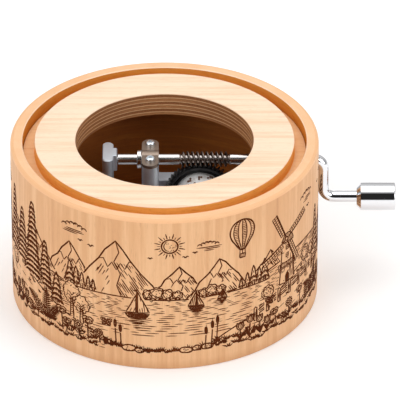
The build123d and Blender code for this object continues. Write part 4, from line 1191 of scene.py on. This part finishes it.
# turned steel shaft; the worm's length and its thread are painted darker than the polished journals, as painted shade
t = Tree("worm_steel_painted_shade")
fine = t.noise(t.map((5200, 500, 500)), detail=4.0, rough=0.7)
oil = t.noise(t.map((300, 900, 900)), detail=3.0)
thread = t.level(off_axis(t, "worm_shaft", (0, SHAFT_Y * MM, SHAFT_Z * MM), 1, 2), 0.00150, 0.00175)
# painted shade: the worm's length is painted darker, standing in for the shade on its lower half
along = t.math("SUBTRACT", t.put("ShaderNodeSeparateXYZ", Vector=t.coord).outputs[0],
               (nodes["worm_shaft"].matrix_world.inverted() @ Vector((0.01045, SHAFT_Y * MM, SHAFT_Z * MM)))[0])
cut = t.level(t.math("ABSOLUTE", along), 0.0060, 0.0064, 1.0, 0.0)
tone = t.mix(t.math("MULTIPLY", cut, 0.8), (0.68, 0.65, 0.63), (0.30, 0.26, 0.24))
# painted shade: the thread is painted darker still
tone = t.mix(thread, tone, (0.22, 0.185, 0.165))
worm_steel_painted_shade = t.surface(
    Base_Color=t.mix(t.level(oil, 0.35, 0.7, 0.0, 0.45), tone, (0.22, 0.17, 0.14)), Metallic=1.0,
    Roughness=t.level(fine, 0.25, 0.75, t.level(thread, 0, 1, 0.16, 0.36), t.level(thread, 0, 1, 0.26, 0.46)),
    Normal=t.bump(fine, 0.06, 0.00003),
)
chrome = metal("chromed_crank", (0.80, 0.80, 0.82), 0.055, 0.015, (700, 3000, 3000), 0.012, 0.93, 0.15)


def plastic(name, col, rough):
    t = Tree(name)
    fine = t.noise(t.map((2600, 2600, 2600)), detail=3.0)
    cloud = t.noise(t.map((220, 220, 220)), detail=2.0)
    c = t.mix(t.level(cloud, 0.3, 0.7, 0.0, 0.5), col, tuple(1.9 * x for x in col))
    return t.surface(
        Base_Color=c, Roughness=t.level(fine, 0.3, 0.7, rough - 0.06, rough + 0.08),
        Normal=t.bump(fine, 0.12, 0.00004),
    )


black = plastic("black_plastic", (0.010, 0.010, 0.011), 0.36)
t = Tree("lead_weights")
lead_noise = t.noise(t.map((1800, 1800, 1800)), detail=4.0)
lead = t.surface(
    Base_Color=t.ramp(lead_noise, [(0.3, (0.10, 0.10, 0.11)), (0.7, (0.20, 0.20, 0.22))]),
    Metallic=0.7, Roughness=t.level(lead_noise, 0.3, 0.7, 0.5, 0.65), Normal=t.bump(lead_noise, 0.3, 0.00005),
)
for names, mat in (
    (("base_disc",), base_ply),
    (("bedplate", "front_bearing"), zinc),
    (("shaft_strap", "outer_shaft_strap"), nickel),
    (("strap_screws", "bearing_screws"), bright),
    (("movement_screws", "comb_screws"), dark_steel),
    (("worm_shaft",), worm_steel_painted_shade),
    (("shaft_collar", "crank_socket", "cylinder_arbor", "knob_clip"), steel),
    (("comb",), comb_steel),
    (("comb_weights",), lead),
    (("pinned_cylinder",), silver),
    (("drive_wheel", "cylinder_cap"), black),
    (("crank_rod", "handle_knob"), chrome),
):
    for node in names:
        dress(node, mat)

# ---------------------------------------------------------------- floor, light and camera
t = Tree("floor_white")
floor_noise = t.noise(t.map((9, 9, 9)), detail=2.0)
floor_mat = t.surface(
    Base_Color=t.ramp(floor_noise, [(0.3, (0.93, 0.93, 0.93)), (0.7, (0.95, 0.95, 0.95))]), Roughness=0.85,
    Emission_Color=(1.0, 1.0, 1.0, 1.0), Emission_Strength=0.09,
)
S = 6.0
me = bpy.data.meshes.new("floor")
me.from_pydata([(-S, -S, 0), (S, -S, 0), (S, S, 0), (-S, S, 0)], [], [(0, 1, 2, 3)])
me.materials.append(floor_mat)
floor = bpy.data.objects.new("floor", me)
floor.location = (0, 0, -0.00002)
scene.collection.objects.link(floor)

world = bpy.data.worlds.new("studio")
scene.world = world
world.use_nodes = True
nt = world.node_tree
nt.nodes.clear()
w_out = nt.nodes.new("ShaderNodeOutputWorld")
w_bg = nt.nodes.new("ShaderNodeBackground")
w_co = nt.nodes.new("ShaderNodeTexCoord")
w_sep = nt.nodes.new("ShaderNodeSeparateXYZ")
w_map = nt.nodes.new("ShaderNodeMapRange")
w_side = nt.nodes.new("ShaderNodeMapRange")
w_mix = nt.nodes.new("ShaderNodeMix")
w_mix.data_type = "RGBA"
nt.links.new(w_co.outputs["Generated"], w_sep.inputs[0])
for node, socket, lo, hi in ((w_map, 2, -1.0, 1.0), (w_side, 1, -0.15, 0.15)):
    nt.links.new(w_sep.outputs[socket], node.inputs["Value"])
    node.inputs["From Min"].default_value = lo
    node.inputs["From Max"].default_value = hi
# a dark studio behind the camera, pale walls behind the box, a bright ceiling
for key, stops in ((6, ((0.0, 0.9), (0.50, 0.8), (0.535, 0.035), (0.90, 0.035), (0.955, 1.25), (1.0, 1.25))),
                   (7, ((0.0, 0.9), (0.50, 0.8), (0.56, 0.75), (0.75, 0.95), (0.90, 1.25), (1.0, 1.25)))):
    ramp = nt.nodes.new("ShaderNodeValToRGB")
    nt.links.new(w_map.outputs[0], ramp.inputs[0])
    el = ramp.color_ramp.elements
    while len(el) < len(stops):
        el.new(0.5)
    for e, (p, v) in zip(el, stops):
        e.position = p
        e.color = (v, v, v, 1)
    nt.links.new(ramp.outputs[0], w_mix.inputs[key])
nt.links.new(w_side.outputs[0], w_mix.inputs[0])
nt.links.new(w_mix.outputs[2], w_bg.inputs["Color"])
w_bg.inputs["Strength"].default_value = 0.66
nt.links.new(w_bg.outputs[0], w_out.inputs["Surface"])


def area(name, pos, at, size, power, color=(1, 1, 1), size_y=None):
    li = bpy.data.lights.new(name, "AREA")
    li.energy = power
    li.color = color
    li.size = size
    if size_y:
        li.shape = "RECTANGLE"
        li.size_y = size_y
    ob = bpy.data.objects.new(name, li)
    ob.location = pos
    d = Vector(at) - Vector(pos)
    ob.rotation_euler = d.to_track_quat("-Z", "Y").to_euler()
    scene.collection.objects.link(ob)
    return ob


area("key", (-0.95, -0.85, 0.85), (0, 0, 0.02), 1.4, 13.5)
area("top", (0.1, 0.15, 1.15), (0, 0, 0.02), 0.9, 4.6)
area("fill", (1.05, -0.75, 0.6), (0, 0, 0.02), 1.0, 9.0)

# The photograph's view: a long lens, 31.7 degrees above the horizon.
ELEV = math.radians(31.7)
DIST = 1.5
PX_PER_M = 3830.0
back = Vector((0, -math.cos(ELEV), math.sin(ELEV)))
up = Vector((0, math.sin(ELEV), math.cos(ELEV)))
aim = Vector((0, 0, 0.022)) + Vector((1, 0, 0)) * (35.2 / PX_PER_M) + up * (14.6 / PX_PER_M)
cam_data = bpy.data.cameras.new("camera")
cam_data.sensor_width = 36.0
cam_data.lens = 36.0 * PX_PER_M * DIST / 400.0
cam_data.clip_start = 0.05
cam_data.clip_end = 50.0
camera = bpy.data.objects.new("camera", cam_data)
camera.location = aim + back * DIST
camera.rotation_euler = (-back).to_track_quat("-Z", "Y").to_euler()
scene.collection.objects.link(camera)
scene.camera = camera
